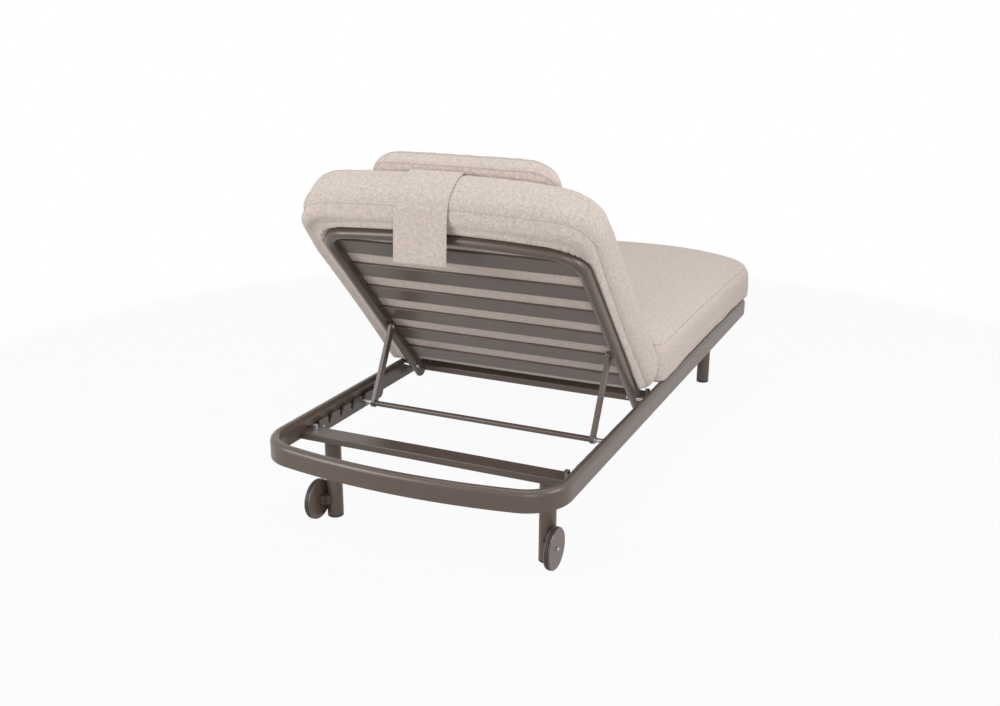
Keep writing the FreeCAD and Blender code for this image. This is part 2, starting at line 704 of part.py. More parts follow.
# Racks: plates held off the ring's inner sides, with slanted seats cut into the top edge
def rack(name, side):
    body = new_body(name)
    seat_y = size("rack_seat_place")
    seat_z = size("rack_seat_height")
    hinge_end = seat_y - size("rack_hinge_margin")
    head_end = size("rack_head_end")
    low = size("rack_bottom")
    high = size("rack_top")
    half_height = (high - low) / 2
    outline = plane_sketch(body, name + "_outline", "YZ_Plane")
    outline.addGeometry(Part.LineSegment(point(hinge_end + half_height, low),
                                         point(head_end, low)))
    outline.addGeometry(Part.LineSegment(point(head_end, low), point(head_end, high)))
    outline.addGeometry(Part.LineSegment(point(head_end, high),
                                         point(hinge_end + half_height, high)))
    outline.addGeometry(Part.Arc(point(hinge_end + half_height, high),
                                 point(hinge_end, low + half_height),
                                 point(hinge_end + half_height, low)))
    pad = body.newObject("PartDesign::Pad", name + "_pad")
    pad.Profile = outline
    pad.setExpression("Length", "Sizes.rack_thickness")
    doc.recompute()
    plate_volume = pad.Shape.Volume
    slot = plane_sketch(body, name + "_seat", "YZ_Plane")
    radius = size("prop_pin_diameter") / 2 + size("rack_slot_clearance")
    lean = math.radians(size("rack_slot_lean"))
    along = point(-math.sin(lean), math.cos(lean))
    across = point(math.cos(lean), math.sin(lean))
    seat = point(seat_y, seat_z)
    head_side = seat + across * radius
    hinge_side = seat - across * radius
    above = point(0, size("cut_overrun"))
    tooth = size("rack_tooth_radius")
    mouth = []
    for low_point, outward, inner_angle in ((head_side, 1, math.pi / 2 - lean),
                                            (hinge_side, -1, math.pi / 2 + lean)):
        corner = low_point + along * ((high - low_point.y) / math.cos(lean))
        reach = tooth / math.tan(inner_angle / 2)
        wall_end = corner - along * reach
        top_start = corner + point(outward * reach, 0)
        centre = top_start - point(0, tooth)
        middle = centre + (corner - centre).normalize() * tooth
        slot.addGeometry(Part.LineSegment(low_point, wall_end))
        slot.addGeometry(Part.Arc(wall_end, middle, top_start))
        slot.addGeometry(Part.LineSegment(top_start, top_start + above))
        mouth.append(top_start + above)
    slot.addGeometry(Part.LineSegment(mouth[0], mouth[1]))
    slot.addGeometry(Part.Arc(hinge_side, seat - along * radius, head_side))
    cut = body.newObject("PartDesign::Pocket", name + "_cut")
    cut.Profile = slot
    cut.Midplane = True
    cut.setExpression("Length", "4 * Sizes.rack_thickness")
    doc.recompute()
    pattern = body.newObject("PartDesign::LinearPattern", name + "_seats")
    pattern.Originals = [cut]
    pattern.Direction = (slot, ["H_Axis"])
    pattern.setExpression("Length", "Sizes.rack_pitch * (Sizes.rack_seat_count - 1)")
    pattern.Occurrences = int(size("rack_seat_count"))
    doc.recompute()
    if pattern.Shape.Volume >= plate_volume:
        raise RuntimeError("the rack's seats cut nothing")
    body.Tip = pattern
    low_x = size("rack_inner_face") if side > 0 else -size("rack_outer_face")
    body.Placement.Base = point(low_x, 0, 0)
    keep(body, name)


rack("rack_left", 1)
rack("rack_right", -1)


def rack_screw(side, y):
    """A low head on the rack's inner face and the spacer between rack and ring."""
    face = size("rack_inner_face")
    radius = size("rack_screw_diameter") / 2
    z = size("ring_bottom") + size("rack_screw_rise")
    head = dome_along_x(side * face, side * (face - size("rack_screw_height")), radius, y, z)
    spacer = cylinder_along_x(side * size("rack_outer_face"),
                              side * (ring_inner_half + size("hinge_weld_depth")),
                              radius, y, z)
    return [head, spacer.cut(ring_solid)]


rack_screws = []
for side in (1, -1):
    hinge_end = size("rack_seat_place") - size("rack_hinge_margin")
    head_end = size("rack_head_end")
    rack_screws.extend(rack_screw(side, hinge_end + size("rack_screw_hinge_margin")))
    rack_screws.extend(rack_screw(side, head_end - size("rack_screw_head_margin")))
solid_part("rack_screws", Part.makeCompound(rack_screws))

# Wheels
wheel_inner = size("leg_half_spread") + size("leg_diameter") / 2 + size("wheel_gap_to_leg")
wheel_outer = wheel_inner + size("wheel_width")
wheel_radius = size("wheel_diameter") / 2
wheel_height = wheel_radius + size("wheel_ground_clearance")
axle_hole = size("axle_diameter") / 2 + size("running_clearance")


def wheel_ring(name, side, x_low, x_high, radius, bevel):
    """A disc or tyre turned about the axle, bevelled at its rim."""
    body = new_body(name)
    profile = plane_sketch(body, name + "_profile", "XY_Plane")
    corners = [point(x_low, axle_hole), point(x_high, axle_hole),
               point(x_high, radius - bevel), point(x_high - bevel, radius),
               point(x_low + bevel, radius), point(x_low, radius - bevel)]
    for index, corner in enumerate(corners):
        profile.addGeometry(Part.LineSegment(corner, corners[(index + 1) % len(corners)]))
    turning = body.newObject("PartDesign::Revolution", name + "_turning")
    turning.Profile = profile
    turning.ReferenceAxis = (profile, ["H_Axis"])
    turning.Angle = 360
    body.Tip = turning
    body.Placement = FreeCAD.Placement(
        point(0, size("wheel_place"), wheel_height),
        FreeCAD.Rotation(Z_AXIS, 0 if side > 0 else 180))
    keep(body, name)


disc_width = size("wheel_disc_width")
for side, hand in ((1, "left"), (-1, "right")):
    wheel_ring("wheel_%s_inner_disc" % hand, side, wheel_inner, wheel_inner + disc_width,
               wheel_radius, size("wheel_rim_bevel"))
    wheel_ring("wheel_%s_tyre" % hand, side, wheel_inner + disc_width,
               wheel_outer - disc_width, wheel_radius + size("tyre_lip"), size("tyre_lip"))
    wheel_ring("wheel_%s_outer_disc" % hand, side, wheel_outer - disc_width, wheel_outer,
               wheel_radius, size("wheel_rim_bevel"))


# Wheel brackets: a lug welded to the leg, with a round boss for the axle
def wheel_bracket(side):
    half = size("bracket_half_height")
    leg_x = size("leg_half_spread")
    boss_face = wheel_inner - size("side_clearance")
    boss_back = leg_x + half - size("side_clearance")
    lug_low = min(side * leg_x, side * boss_face)
    lug = Part.makeBox(boss_face - leg_x, size("wheel_place") - size("rear_leg_place"),
                       2 * half, point(lug_low, size("rear_leg_place"), wheel_height - half))
    boss = cylinder_along_x(side * boss_back, side * boss_face,
                            size("axle_boss_diameter") / 2, size("wheel_place"), wheel_height)
    bore = cylinder_along_x(side * (leg_x - size("cut_overrun")),
                            side * (boss_face + size("cut_overrun")), axle_hole,
                            size("wheel_place"), wheel_height)
    leg_solid = Part.makeCylinder(size("leg_diameter") / 2, size("ring_bottom"),
                                  point(side * leg_x, size("rear_leg_place")))
    return lug.fuse(boss).removeSplitter().cut(leg_solid).cut(bore)


for side, hand in ((1, "left"), (-1, "right")):
    solid_part("wheel_bracket_" + hand, wheel_bracket(side).Solids[0])


def axle(side):
    """A pin through boss and wheel with a low domed head outside."""
    start = size("leg_half_spread") + size("bracket_half_height")
    face = wheel_outer + size("side_clearance")
    shank = cylinder_along_x(side * start, side * face, size("axle_diameter") / 2, 0, 0)
    head = dome_along_x(side * face, side * (face + size("axle_head_height")),
                        size("axle_head_diameter") / 2, 0, 0)
    pin = shank.fuse(head).removeSplitter()
    pin.translate(point(0, size("wheel_place"), wheel_height))
    return pin


solid_part("wheel_axles", Part.makeCompound([axle(1), axle(-1)]))


# Cushions
#
# Each is a stack of lofts between outlines: a shallow belly under the lower seam,
# a border that bulges between its two seams, and a crown over the upper seam. The
# seat cushion's belly sinks between the ring's sides, so it has the ring's corners,
# and the rest of its lower panel lies on the ring's top.

def outline_wire(plan, inset, level, draw_in):
    wire = Part.Wire(plan_edges(*plan, inset, draw_in))
    wire.translate(Z_AXIS * level)
    return wire


def leaned(plan, lean):
    """The same plan with its low end moved further out."""
    return (plan[0], plan[1] - lean) + plan[2:]


def cushion(plan, belly, low_seam, high_seam, crown, belly_loft, bulge, draw_in, lean=0.0,
            crown_shares=LOW_CROWN_SHARES):
    crown_reach = min(plan[0], (plan[2] - plan[1]) / 2)
    middle = (low_seam + high_seam) / 2
    half_leaned = leaned(plan, lean / 2)
    front = leaned(plan, lean)
    belly_plan, low_inset, top_inset = belly_loft
    lofts = [
        Part.makeLoft([outline_wire(belly_plan, low_inset, belly, draw_in),
                       outline_wire(belly_plan, top_inset, low_seam, draw_in)], True, True),
        Part.makeLoft([outline_wire(plan, 0.0, low_seam, draw_in),
                       outline_wire(half_leaned, -bulge, middle, draw_in),
                       outline_wire(front, 0.0, high_seam, draw_in)], True, False),
    ]
    crown_wires = []
    for inset_share, rise_share in crown_shares:
        crown_wires.append(outline_wire(front, crown_reach * inset_share,
                                        high_seam + (crown - high_seam) * rise_share, draw_in))
    lofts.append(Part.makeLoft(crown_wires, True, False))
    return lofts[0].fuse(lofts[1:]).removeSplitter()


seat_plan = (size("cushion_half_width"), size("seat_cushion_foot_end"),
             size("seat_cushion_head_end"), size("cushion_corner_radius"),
             size("cushion_corner_radius"), size("cushion_end_bow"),
             size("cushion_straight_bow"))
seat_belly_plan = (size("ring_half_width"), -size("ring_half_length"),
                   size("seat_cushion_head_end") + size("cushion_side_inset"),
                   size("ring_corner_radius"), size("cushion_corner_radius"),
                   size("ring_end_bow"), size("cushion_straight_bow"))
seat_belly_rim = size("ring_tube_width") * BELLY_RIM_SHARE
solid_part("seat_cushion", cushion(
    seat_plan, size("seat_slat_top"), size("seat_seam_low"), size("seat_seam_high"),
    size("seat_crown_level"), (seat_belly_plan, 2 * size("ring_tube_width"), seat_belly_rim),
    size("seat_side_bulge"), size("cushion_draw_in"), crown_shares=HIGH_CROWN_SHARES))

back_plan = (size("cushion_half_width"), size("back_cushion_low_end"),
             size("back_cushion_high_end"), size("back_cushion_low_corner"),
             size("back_cushion_high_corner"), size("cushion_straight_bow"),
             size("cushion_end_bow"))
solid_part("back_cushion", cushion(
    back_plan, back_front, size("back_seam_rear"), size("back_seam_front"),
    size("back_crown_level"),
    (back_plan, size("cushion_half_width") - size("back_half_width"), 0.0),
    size("back_side_bulge"), size("cushion_draw_in"), size("back_cushion_low_lean")),
    back_placement)

pillow_plan = (size("pillow_half_width"), size("pillow_low_end"), size("pillow_high_end"),
               size("pillow_corner_radius"), size("pillow_corner_radius"),
               size("cushion_straight_bow"), size("cushion_straight_bow"))
solid_part("pillow", cushion(
    pillow_plan, size("pillow_rest"), size("pillow_seam_rear"), size("pillow_seam_front"),
    size("pillow_crown_level"), (pillow_plan, size("pillow_belly_rise"), 0.0),
    size("pillow_bulge"), size("cushion_draw_in") / 2), back_placement)

# Strap: a band from the pillow's rear seam over the cushion's head border, and a
# tail that hangs plumb behind the back from the border's lower seam
seam_s = size("back_cushion_high_end") + size("strap_clearance")
bulge_s = seam_s + size("back_side_bulge")
middle_d = (size("back_seam_rear") + size("back_seam_front")) / 2
thick = size("strap_thickness")
pillow_side = point(0, size("pillow_high_end") + size("strap_clearance"),
                    size("pillow_seam_rear") - thick)
front_seam = point(0, seam_s, size("back_seam_front"))
rear_seam = point(0, seam_s, size("back_seam_rear"))
outward = point(0, thick, 0)
band_wire = Part.Wire([
    Part.LineSegment(pillow_side, front_seam).toShape(),
    Part.Arc(front_seam, point(0, bulge_s, middle_d), rear_seam).toShape(),
    Part.LineSegment(rear_seam, rear_seam + outward).toShape(),
    Part.Arc(rear_seam + outward, point(0, bulge_s + thick, middle_d),
             front_seam + outward).toShape(),
    Part.LineSegment(front_seam + outward, pillow_side + outward).toShape(),
    Part.LineSegment(pillow_side + outward, pillow_side).toShape(),
])
band = Part.Face(band_wire).extrude(X_AXIS * (2 * size("strap_half_width")))
band.translate(X_AXIS * (size("strap_centre") - size("strap_half_width")))
solid_part("strap_band", band, back_placement)

tail_pivot = back_placement.multVec(rear_seam)
tail_top = tail_pivot.z - size("soft_clearance")
tail_low = tail_pivot.z - size("strap_tail_length")
strap_left = size("strap_centre") - size("strap_half_width")
strap_width = 2 * size("strap_half_width")
tail = Part.makeBox(strap_width, thick, tail_top - tail_low,
                    point(strap_left, tail_pivot.y, tail_low))
hem = Part.makeBox(strap_width, size("strap_hem_thickness"), size("strap_hem_height"),
                   point(strap_left, tail_pivot.y, tail_low))
weight_gap = size("strap_weight_clearance")
weight_low = tail_low + (size("strap_hem_height") - size("strap_weight_height")) / 2
weight_y = tail_pivot.y + (size("strap_hem_thickness") - size("strap_weight_thickness")) / 2
tunnel = Part.makeBox(strap_width + 2 * size("cut_overrun"),
                      size("strap_weight_thickness") + 2 * weight_gap,
                      size("strap_weight_height") + 2 * weight_gap,
                      point(strap_left - size("cut_overrun"), weight_y - weight_gap,
                            weight_low - weight_gap))
solid_part("strap_tail", tail.fuse(hem).removeSplitter().cut(tunnel))
solid_part("strap_weight", Part.makeBox(
    strap_width - 2 * size("strap_hem_thickness"), size("strap_weight_thickness"),
    size("strap_weight_height"),
    point(strap_left + size("strap_hem_thickness"), weight_y, weight_low)))

# Check every object, then write each sub-part
doc.recompute()
for item in doc.Objects:
    if "Invalid" in item.State or "Error" in item.State:
        raise RuntimeError("%s failed: %s" % (item.Name, item.State))
os.makedirs("parts", exist_ok=True)
for part in parts:
    shape = part.Shape
    if shape.isNull() or not shape.isValid() or not shape.Solids:
        raise RuntimeError(part.Label + " has no valid solid")
    shape.exportStep("parts/%s.step" % part.Label)
    print("%-26s solids %d volume %.0f" % (part.Label, len(shape.Solids), shape.Volume))
print("sub-parts", len(parts), "prop length", round(prop_length, 2),
      "tail pivot", round(tail_pivot.y, 2), round(tail_pivot.z, 2),
      "prop pivot", round(pivot_centre.y, 2), round(pivot_centre.z, 2))
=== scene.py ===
# %% [markdown]
# # A spa lounger, dressed for the camera
#
# The lounger's hard parts come from its CAD model: tubes, slats, prop, racks and wheels. This
# script gives them finishes, and it makes the soft parts anew: two thick cushions, a head
# pillow and the weighted strap that keeps the pillow in place. All lengths are metres.

import json
import math

import bpy
import numpy as np
from mathutils import Matrix, Vector
from mathutils.bvhtree import BVHTree
from mathutils.kdtree import KDTree


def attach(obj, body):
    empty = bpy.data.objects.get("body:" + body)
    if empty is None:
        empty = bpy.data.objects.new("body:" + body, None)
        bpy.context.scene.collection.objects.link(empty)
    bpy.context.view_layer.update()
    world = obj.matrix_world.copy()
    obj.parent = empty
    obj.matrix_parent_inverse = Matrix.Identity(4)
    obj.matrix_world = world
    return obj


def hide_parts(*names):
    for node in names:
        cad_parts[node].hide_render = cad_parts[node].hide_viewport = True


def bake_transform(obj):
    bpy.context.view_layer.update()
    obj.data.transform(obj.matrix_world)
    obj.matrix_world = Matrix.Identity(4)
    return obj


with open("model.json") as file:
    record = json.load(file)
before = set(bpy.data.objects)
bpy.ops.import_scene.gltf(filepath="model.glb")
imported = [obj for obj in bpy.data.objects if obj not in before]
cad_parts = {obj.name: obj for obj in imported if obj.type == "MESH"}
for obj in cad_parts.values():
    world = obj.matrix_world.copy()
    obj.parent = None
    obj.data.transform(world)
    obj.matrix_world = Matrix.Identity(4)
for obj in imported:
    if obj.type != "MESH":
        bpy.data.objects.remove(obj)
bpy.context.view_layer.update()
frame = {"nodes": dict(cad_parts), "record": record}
nodes = frame["nodes"]

# %% [markdown]
# ## The back's own axes
#
# The back is tilted, so anything on it is easier to place in its own axes: across the lounger,
# along the back from its hinge, and out of the back towards the cushion. One small function
# turns such a place into the lounger's axes. The seat is level and needs no such help.

# %% Places on the tilted back
HINGE_Y = 0.2544
HINGE = Vector((0.0, HINGE_Y, 0.2555))
BACK_ANGLE = math.radians(46.3)
BACK = Matrix.Translation(HINGE) @ Matrix.Rotation(BACK_ANGLE, 4, "X")
BACK_TUBE_TOP = 0.694


def on_back(across, along, out):
    """Turn a place on the back into the lounger's axes."""
    return BACK @ Vector((across, along, out))


print("top of the back tube:", tuple(round(v, 4) for v in on_back(0, BACK_TUBE_TOP, 0)))

# %% [markdown]
# ## The camera
#
# The lounger is seen from behind its head end, from a little above. A camera matrix holds three
# directions: right, up and backwards. They are written out here, which is exact and avoids a
# chain of rotations. A lens of about 40 mm gives the moderate perspective of a product picture.

# %% Camera
FORWARD = Vector((0.3921, -0.8691, -0.3015)).normalized()
ROLL_RIGHT = Vector((-0.9115, -0.4112, 0.0))
CAMERA_UP = ROLL_RIGHT.cross(FORWARD).normalized()
CAMERA_RIGHT = FORWARD.cross(CAMERA_UP).normalized()
SMALL_ROLL = 0.0045
SENSOR_WIDTH = 36.0
FOCAL_PER_WIDTH = 1120.5 / 1000
CAMERA_PLACE = (-1.1903, 3.0216, 1.2903)


def add_object(name, data):
    made = bpy.data.objects.new(name, data)
    bpy.context.scene.collection.objects.link(made)
    return made


camera_data = bpy.data.cameras.new("camera")
camera_data.sensor_width = SENSOR_WIDTH
camera_data.lens = FOCAL_PER_WIDTH * SENSOR_WIDTH
camera = add_object("camera", camera_data)
turn = Matrix((CAMERA_RIGHT, CAMERA_UP, -FORWARD)).transposed().to_4x4()
camera.matrix_world = (Matrix.Translation(CAMERA_PLACE) @ turn
                       @ Matrix.Rotation(SMALL_ROLL, 4, "Z"))
bpy.context.scene.camera = camera
print("camera at", tuple(camera.location), "lens", round(camera_data.lens, 2))

# %% [markdown]
# ## Shader maths
#
# A shader is a graph of nodes, and even a simple sum takes a node and two links. The class below
# wraps an output socket, so that sums read as plain Python: `1 - mask` adds a Math node by
# itself. `node` adds any other kind of node, with its settings first and then its inputs, and
# `noise` and `bump` shorten the two kinds that are used most.

# %% Sockets that add up
class Wire:
    """An output socket of a shader node, with Python's arithmetic."""

    def __init__(self, tree, socket=None):
        self.tree = tree
        self.socket = socket

    def plug(self, entry, value):
        if isinstance(value, Wire):
            self.tree.links.new(value.socket, entry)
        else:
            entry.default_value = value

    def node(self, kind, settings=None, inputs=None, output=0):
        made = self.tree.nodes.new("ShaderNode" + kind)
        for name, value in (settings or {}).items():
            setattr(made, name, value)
        for name, value in (inputs or {}).items():
            self.plug(made.inputs[name], value)
        return Wire(self.tree, made.outputs[output])

    def into(self, entry, value):
        """Feed a value into the material's own shader."""
        self.plug(self.tree.nodes["Principled BSDF"].inputs[entry], value)

    def maths(self, operation, *values):
        return self.node("Math", {"operation": operation},
                         dict(enumerate(values)))

    def __add__(self, other):
        return self.maths("ADD", self, other)

    def __rsub__(self, other):
        return self.maths("SUBTRACT", other, self)

    def __mul__(self, other):
        return self.maths("MULTIPLY", self, other)

    __rmul__ = __mul__

    def __lt__(self, other):
        return self.maths("LESS_THAN", self, other)

    def __mod__(self, other):
        return self.maths("FLOORED_MODULO", self, other)

    def floor(self):
        return self.maths("FLOOR", self)

    def fraction(self):
        return self.maths("FRACT", self)

    def blend(self, low, high):
        """Colour `low` where this wire is 0, colour `high` where it is 1."""
        return self.node("Mix", {"data_type": "RGBA"},
                         {0: self, 6: low, 7: high}, 2)

    def between(self, low, high):
        """The value `low` where this wire is 0 and `high` where it is 1."""
        return self * (high - low) + low

    def noise(self, place, scale, detail=2.0, dimensions="3D"):
        return self.node("TexNoise", {"noise_dimensions": dimensions},
                         {"Vector": place, "Scale": scale, "Detail": detail})

    def stretch(self, low, high):
        """This wire's values from `low` to `high`, spread from 0 to 1."""
        return self.node("MapRange", None,
                         {"Value": self, "From Min": low, "From Max": high})

    def bump(self, strength, distance, height):
        return self.node("Bump", None,
                         {"Strength": strength, "Distance": distance, "Height": height})


def finish_with(name, **constants):
    """A new material with constant inputs set, and a wire to build from."""
    material = bpy.data.materials.new(name)
    material.use_nodes = True
    make = Wire(material.node_tree)
    for entry, value in constants.items():
        make.into(entry.replace("_", " "), value)
    return material, make


print("shader helper ready")

# %% [markdown]
# ## Powder coat
#
# The aluminium is powder coated in a warm taupe. Powder melts into a skin with a very fine orange
# peel, so the gloss is soft and slightly uneven. Noise at about a millimetre gives the peel as a
# bump, a broader noise shifts the colour a little, and the roughness follows the fine noise.

# %% Powder coat
def powder_coat():
    material, make = finish_with("taupe_powder_coat", Metallic=0.0, IOR=1.5, Coat_Weight=0.0)
    place = make.node("TexCoord", output="Object")
    fine = make.noise(place, 900.0)
    broad = make.noise(place, 5.0, 3.0)
    speck = make.noise(place, 1300.0, 1.0)
    tone = broad * 0.35 + speck * 0.65
    colour = tone.blend((0.082, 0.059, 0.047, 1), (0.134, 0.098, 0.079, 1))
    make.into("Base Color", colour)
    make.into("Roughness", fine.between(0.26, 0.40))
    make.into("Normal", make.bump(0.35, 0.00025, fine))
    return material


TAUPE = powder_coat()
print("made", TAUPE.name)

# %% [markdown]
# ## Bright metal, black plastic and tyre rubber
#
# Bolts, pins and axle heads are zinc plated or stainless: a metal whose roughness is streaked by
# turning and handling. The feet, the caps in the tube ends and the wheels' rings are black. They
# differ in gloss: moulded plastic shines a little, rubber hardly at all.

# %% Small finishes
def bright_metal():
    material, make = finish_with("zinc_and_stainless", Metallic=1.0)
    place = make.node("TexCoord", output="Object")
    streak = make.noise(place, 700.0, 3.0)
    broad = make.noise(place, 90.0)
    make.into("Base Color", broad.blend((0.27, 0.27, 0.29, 1), (0.46, 0.46, 0.48, 1)))
    make.into("Roughness", streak.between(0.26, 0.46))
    make.into("Normal", make.bump(0.2, 0.0002, streak))
    return material


def dark_moulding(name, low, high, smooth, rough, grain):
    material, make = finish_with(name)
    place = make.node("TexCoord", output="Object")
    fine = make.noise(place, grain, 4.0)
    make.into("Base Color", fine.blend((low, low, low, 1), (high, high, high * 1.04, 1)))
    make.into("Roughness", fine.between(smooth, rough))
    make.into("Normal", make.bump(0.3, 0.0003, fine))
    return material


BRIGHT = bright_metal()
BLACK = dark_moulding("black_plastic", 0.010, 0.026, 0.35, 0.55, 500.0)
RUBBER = dark_moulding("tyre_rubber", 0.018, 0.042, 0.46, 0.66, 260.0)
print("made", BRIGHT.name, BLACK.name, RUBBER.name)

# %% [markdown]
# ## The woven cloth
#
# The covers are an outdoor cloth in a twill weave: light sand threads one way, slightly darker
# ones the other way, each passing over two and under two. From a distance this reads as a fine
# diagonal grain with a mottled tone. The pattern is worked out from an attribute that holds each
# point's place on its panel in metres, so all panels have threads of one size: whole numbers
# count the threads. Each thread and each crossing has its own tone, stretched noise gives thick
# places in the yarn, and two broader noises give the melange that still shows from far away.

# %% Cloth
THREAD = 0.0017


def woven_cloth():
    material, make = finish_with("sand_twill", Specular_IOR_Level=0.25, Sheen_Weight=0.25,
                                 Sheen_Roughness=0.6, Sheen_Tint=(0.95, 0.88, 0.82, 1))
    place = make.node("Attribute", {"attribute_name": "weave"}, output=1)
    across = make.node("SeparateXYZ", None, {0: place}, 0) * (1 / THREAD)
    along = make.node("SeparateXYZ", None, {0: place}, 1) * (1 / THREAD)
    warp = across.floor()
    weft = along.floor()
    over = ((warp + weft) % 4.0) < 1.5
    warp_round = across.fraction() * (1 - across.fraction()) * 4
    weft_round = along.fraction() * (1 - along.fraction()) * 4
    height = over * warp_round + (1 - over) * weft_round
    warp_tone = make.node("TexWhiteNoise", {"noise_dimensions": "1D"}, {"W": warp})
    weft_tone = make.node("TexWhiteNoise", {"noise_dimensions": "1D"},
                          {"W": weft + 0.37})
    crossing = make.node("CombineXYZ", None, {0: warp, 1: weft})
    speck = make.node("TexWhiteNoise", {"noise_dimensions": "3D"},
                      {"Vector": crossing})
    mottle = make.noise(place, 220.0, 3.0, "2D").stretch(0.39, 0.61)
    body_place = make.node("TexCoord", output="Object")
    cloud = make.noise(body_place, 4.0)
    stretched = []
    for number, scale in enumerate(((640.0, 170.0, 1.0), (170.0, 640.0, 1.0))):
        moved = make.node("VectorMath", {"operation": "MULTIPLY_ADD"},
                          {0: place, 1: scale, 2: (number * 7.3, 0.0, 0.0)})
        stretched.append(make.noise(moved, 1.0, 2.0, "2D"))
    slubs = (stretched[0] * 0.5 + stretched[1] * 0.5).stretch(0.41, 0.59)
    melange = make.noise(place, 95.0, 4.0, "2D").stretch(0.40, 0.60)
    tone = (0.05 * warp_tone + 0.05 * weft_tone + 0.16 * speck + 0.24 * slubs
            + 0.26 * mottle + 0.18 * melange + 0.06 * cloud)
    light = tone.blend((0.520, 0.437, 0.388, 1), (0.900, 0.797, 0.731, 1))
    dark = tone.blend((0.370, 0.307, 0.270, 1), (0.770, 0.672, 0.612, 1))
    thread = over.blend(dark, light)
    # Painted shade between the threads: where a thread curves down to its neighbour, its colour
    # is mixed a third of the way to dark brown.
    thread_shade = make.node("Clamp", None, {0: height * 1.6})
    woven = thread_shade.between(0.66, 1.0).blend((0.36, 0.30, 0.26, 1), thread)
    # Painted shade at the seams: near each seam the cloth is darkened towards dark brown, as
    # shade in the groove.
    painted_seam_shade = make.node("Attribute", {"attribute_name": "painted_seam_shade"}, output=2)
    shaded = (painted_seam_shade * 0.5).blend(woven, (0.30, 0.25, 0.22, 1))
    make.into("Base Color", shaded)
    make.into("Roughness", speck.between(0.82, 0.98))
    make.into("Normal", make.bump(0.4, 0.0005, height + slubs * 0.8))
    return material


def sewing_thread():
    material, make = finish_with("sewing_thread", Sheen_Weight=0.1)
    place = make.node("TexCoord", output="Object")
    fine = make.noise(place, 1500.0)
    make.into("Base Color", fine.blend((0.34, 0.285, 0.25, 1), (0.50, 0.43, 0.385, 1)))
    make.into("Roughness", fine.between(0.6, 0.85))
    return material


CLOTH = woven_cloth()
THREAD_DARK = sewing_thread()
print("made", CLOTH.name, THREAD_DARK.name)

# %% [markdown]
# ## Finishes on the CAD nodes
#
# Every CAD node names a material slot in the record. One loop gives each node the finish of its
# slot, so a node that is added later gets its finish by itself. The soft nodes get the cloth,
# although the cushions below stand in for them.

# %% Dress the CAD nodes
FINISHES = {"taupe_frame": TAUPE, "bright_steel": BRIGHT, "black_plastic": BLACK,
            "wheel_rubber": RUBBER, "sand_fabric": CLOTH}
for part in frame["record"]["subparts"]:
    piece = nodes[part["node"]]
    piece.data.materials.clear()
    piece.data.materials.append(FINISHES[part["material_slot"]])

# %% [markdown]
# ## Outlines with bowed ends
#
# All the cushions share one plan: sides that pull in slightly, ends bowed outwards, and round
# corners. A cover's surface is a stack of such outlines, from the middle of its lower panel
# round the border to the middle of its upper panel. Each outline has the same number of points,
# so neighbours join into a clean band of quads.

# %% Outline maths
WAIST = 0.004


def arc_end(plan, inset, outward, counts):
    """Corner arc and end arc of one end, from the side to the middle line."""
    half, low, high, low_corner, high_corner, low_bow, high_bow = plan
    end, corner, bow = (high, high_corner, high_bow) if outward > 0 else (low, low_corner,
                                                                         low_bow)
    radius = (half ** 2 + bow ** 2) / (2 * bow)
    centre_y = end - outward * radius
    inner_half = half - inset
    room = min(0.45 * (high - low - 2 * inset), 0.9 * inner_half)
    round_r = min(max(corner - inset, 0.6 * corner), room)
    corner_x = inner_half - round_r
    end_r = radius - inset
    drop = math.sqrt(max((end_r - round_r) ** 2 - corner_x ** 2, 0.0))
    corner_y = centre_y + outward * drop
    tip = math.atan2(outward * (corner_y - centre_y), corner_x)
    points = []
    for step in range(counts[1]):
        angle = tip * step / counts[1]
        points.append((corner_x + round_r * math.cos(angle),
                       corner_y + outward * round_r * math.sin(angle)))
    for step in range(counts[2] // 2 + 1):
        angle = tip + (math.pi / 2 - tip) * step / (counts[2] // 2)
        points.append((end_r * math.cos(angle), centre_y + outward * end_r * math.sin(angle)))
    return points


def outline(plan, inset, waist=0.0, counts=(56, 12, 36)):
    """A closed plan, counter-clockwise, with `inset` taken off all round."""
    top = arc_end(plan, inset, 1, counts)
    bottom = arc_end(plan, inset, -1, counts)
    side = []
    for step in range(1, counts[0]):
        share = step / counts[0]
        y = bottom[0][1] + (top[0][1] - bottom[0][1]) * share
        side.append((top[0][0] - waist * 4 * share * (1 - share), y))
    right = list(reversed(bottom[:-1])) + side + top
    left = [(-x, y) for x, y in reversed(right[:-1])] + [(-bottom[-1][0], bottom[-1][1])]
    return right + left


print("points per outline:", len(outline((0.3, -0.5, 0.5, 0.05, 0.05, 0.01, 0.01), 0.0)))

# %% [markdown]
# ## Foam against cloth
#
# A cover is cut slightly smaller than its foam, so foam and cover push against each other: the
# panels crown, the border puffs and the corners pull tight. Blender's Cloth with a little inner
# pressure does the same to a plain closed form, remeshed into even quads. The simulated form is
# only the core: it says how far each place moves. The visible cover is a finer mesh that takes
# those moves, because a remeshed core is too coarse for a seam.

# %% The simulated core
def points_of(mesh):
    values = np.empty(len(mesh.vertices) * 3, np.float64)
    mesh.vertices.foreach_get("co", values)
    return values.reshape(-1, 3)


def mesh_object(name, points, faces):
    mesh = bpy.data.meshes.new(name)
    mesh.from_pydata(points, [], faces)
    return add_object(name, mesh)


def store(mesh, name, kind, domain, field, values):
    """Keep one value for each point or face corner as an attribute that a shader can read."""
    layer = mesh.attributes.new(name, kind, domain)
    layer.data.foreach_set(field, values.astype(np.float32).ravel())


def set_points(mesh, values):
    mesh.vertices.foreach_set("co", values.astype(np.float32).ravel())
    mesh.update()


def apply_modifiers(piece):
    """Bake the modifier stack into the mesh."""
    graph = bpy.context.evaluated_depsgraph_get()
    baked = bpy.data.meshes.new_from_object(piece.evaluated_get(graph))
    piece.modifiers.clear()
    old = piece.data
    piece.data = baked
    bpy.data.meshes.remove(old)


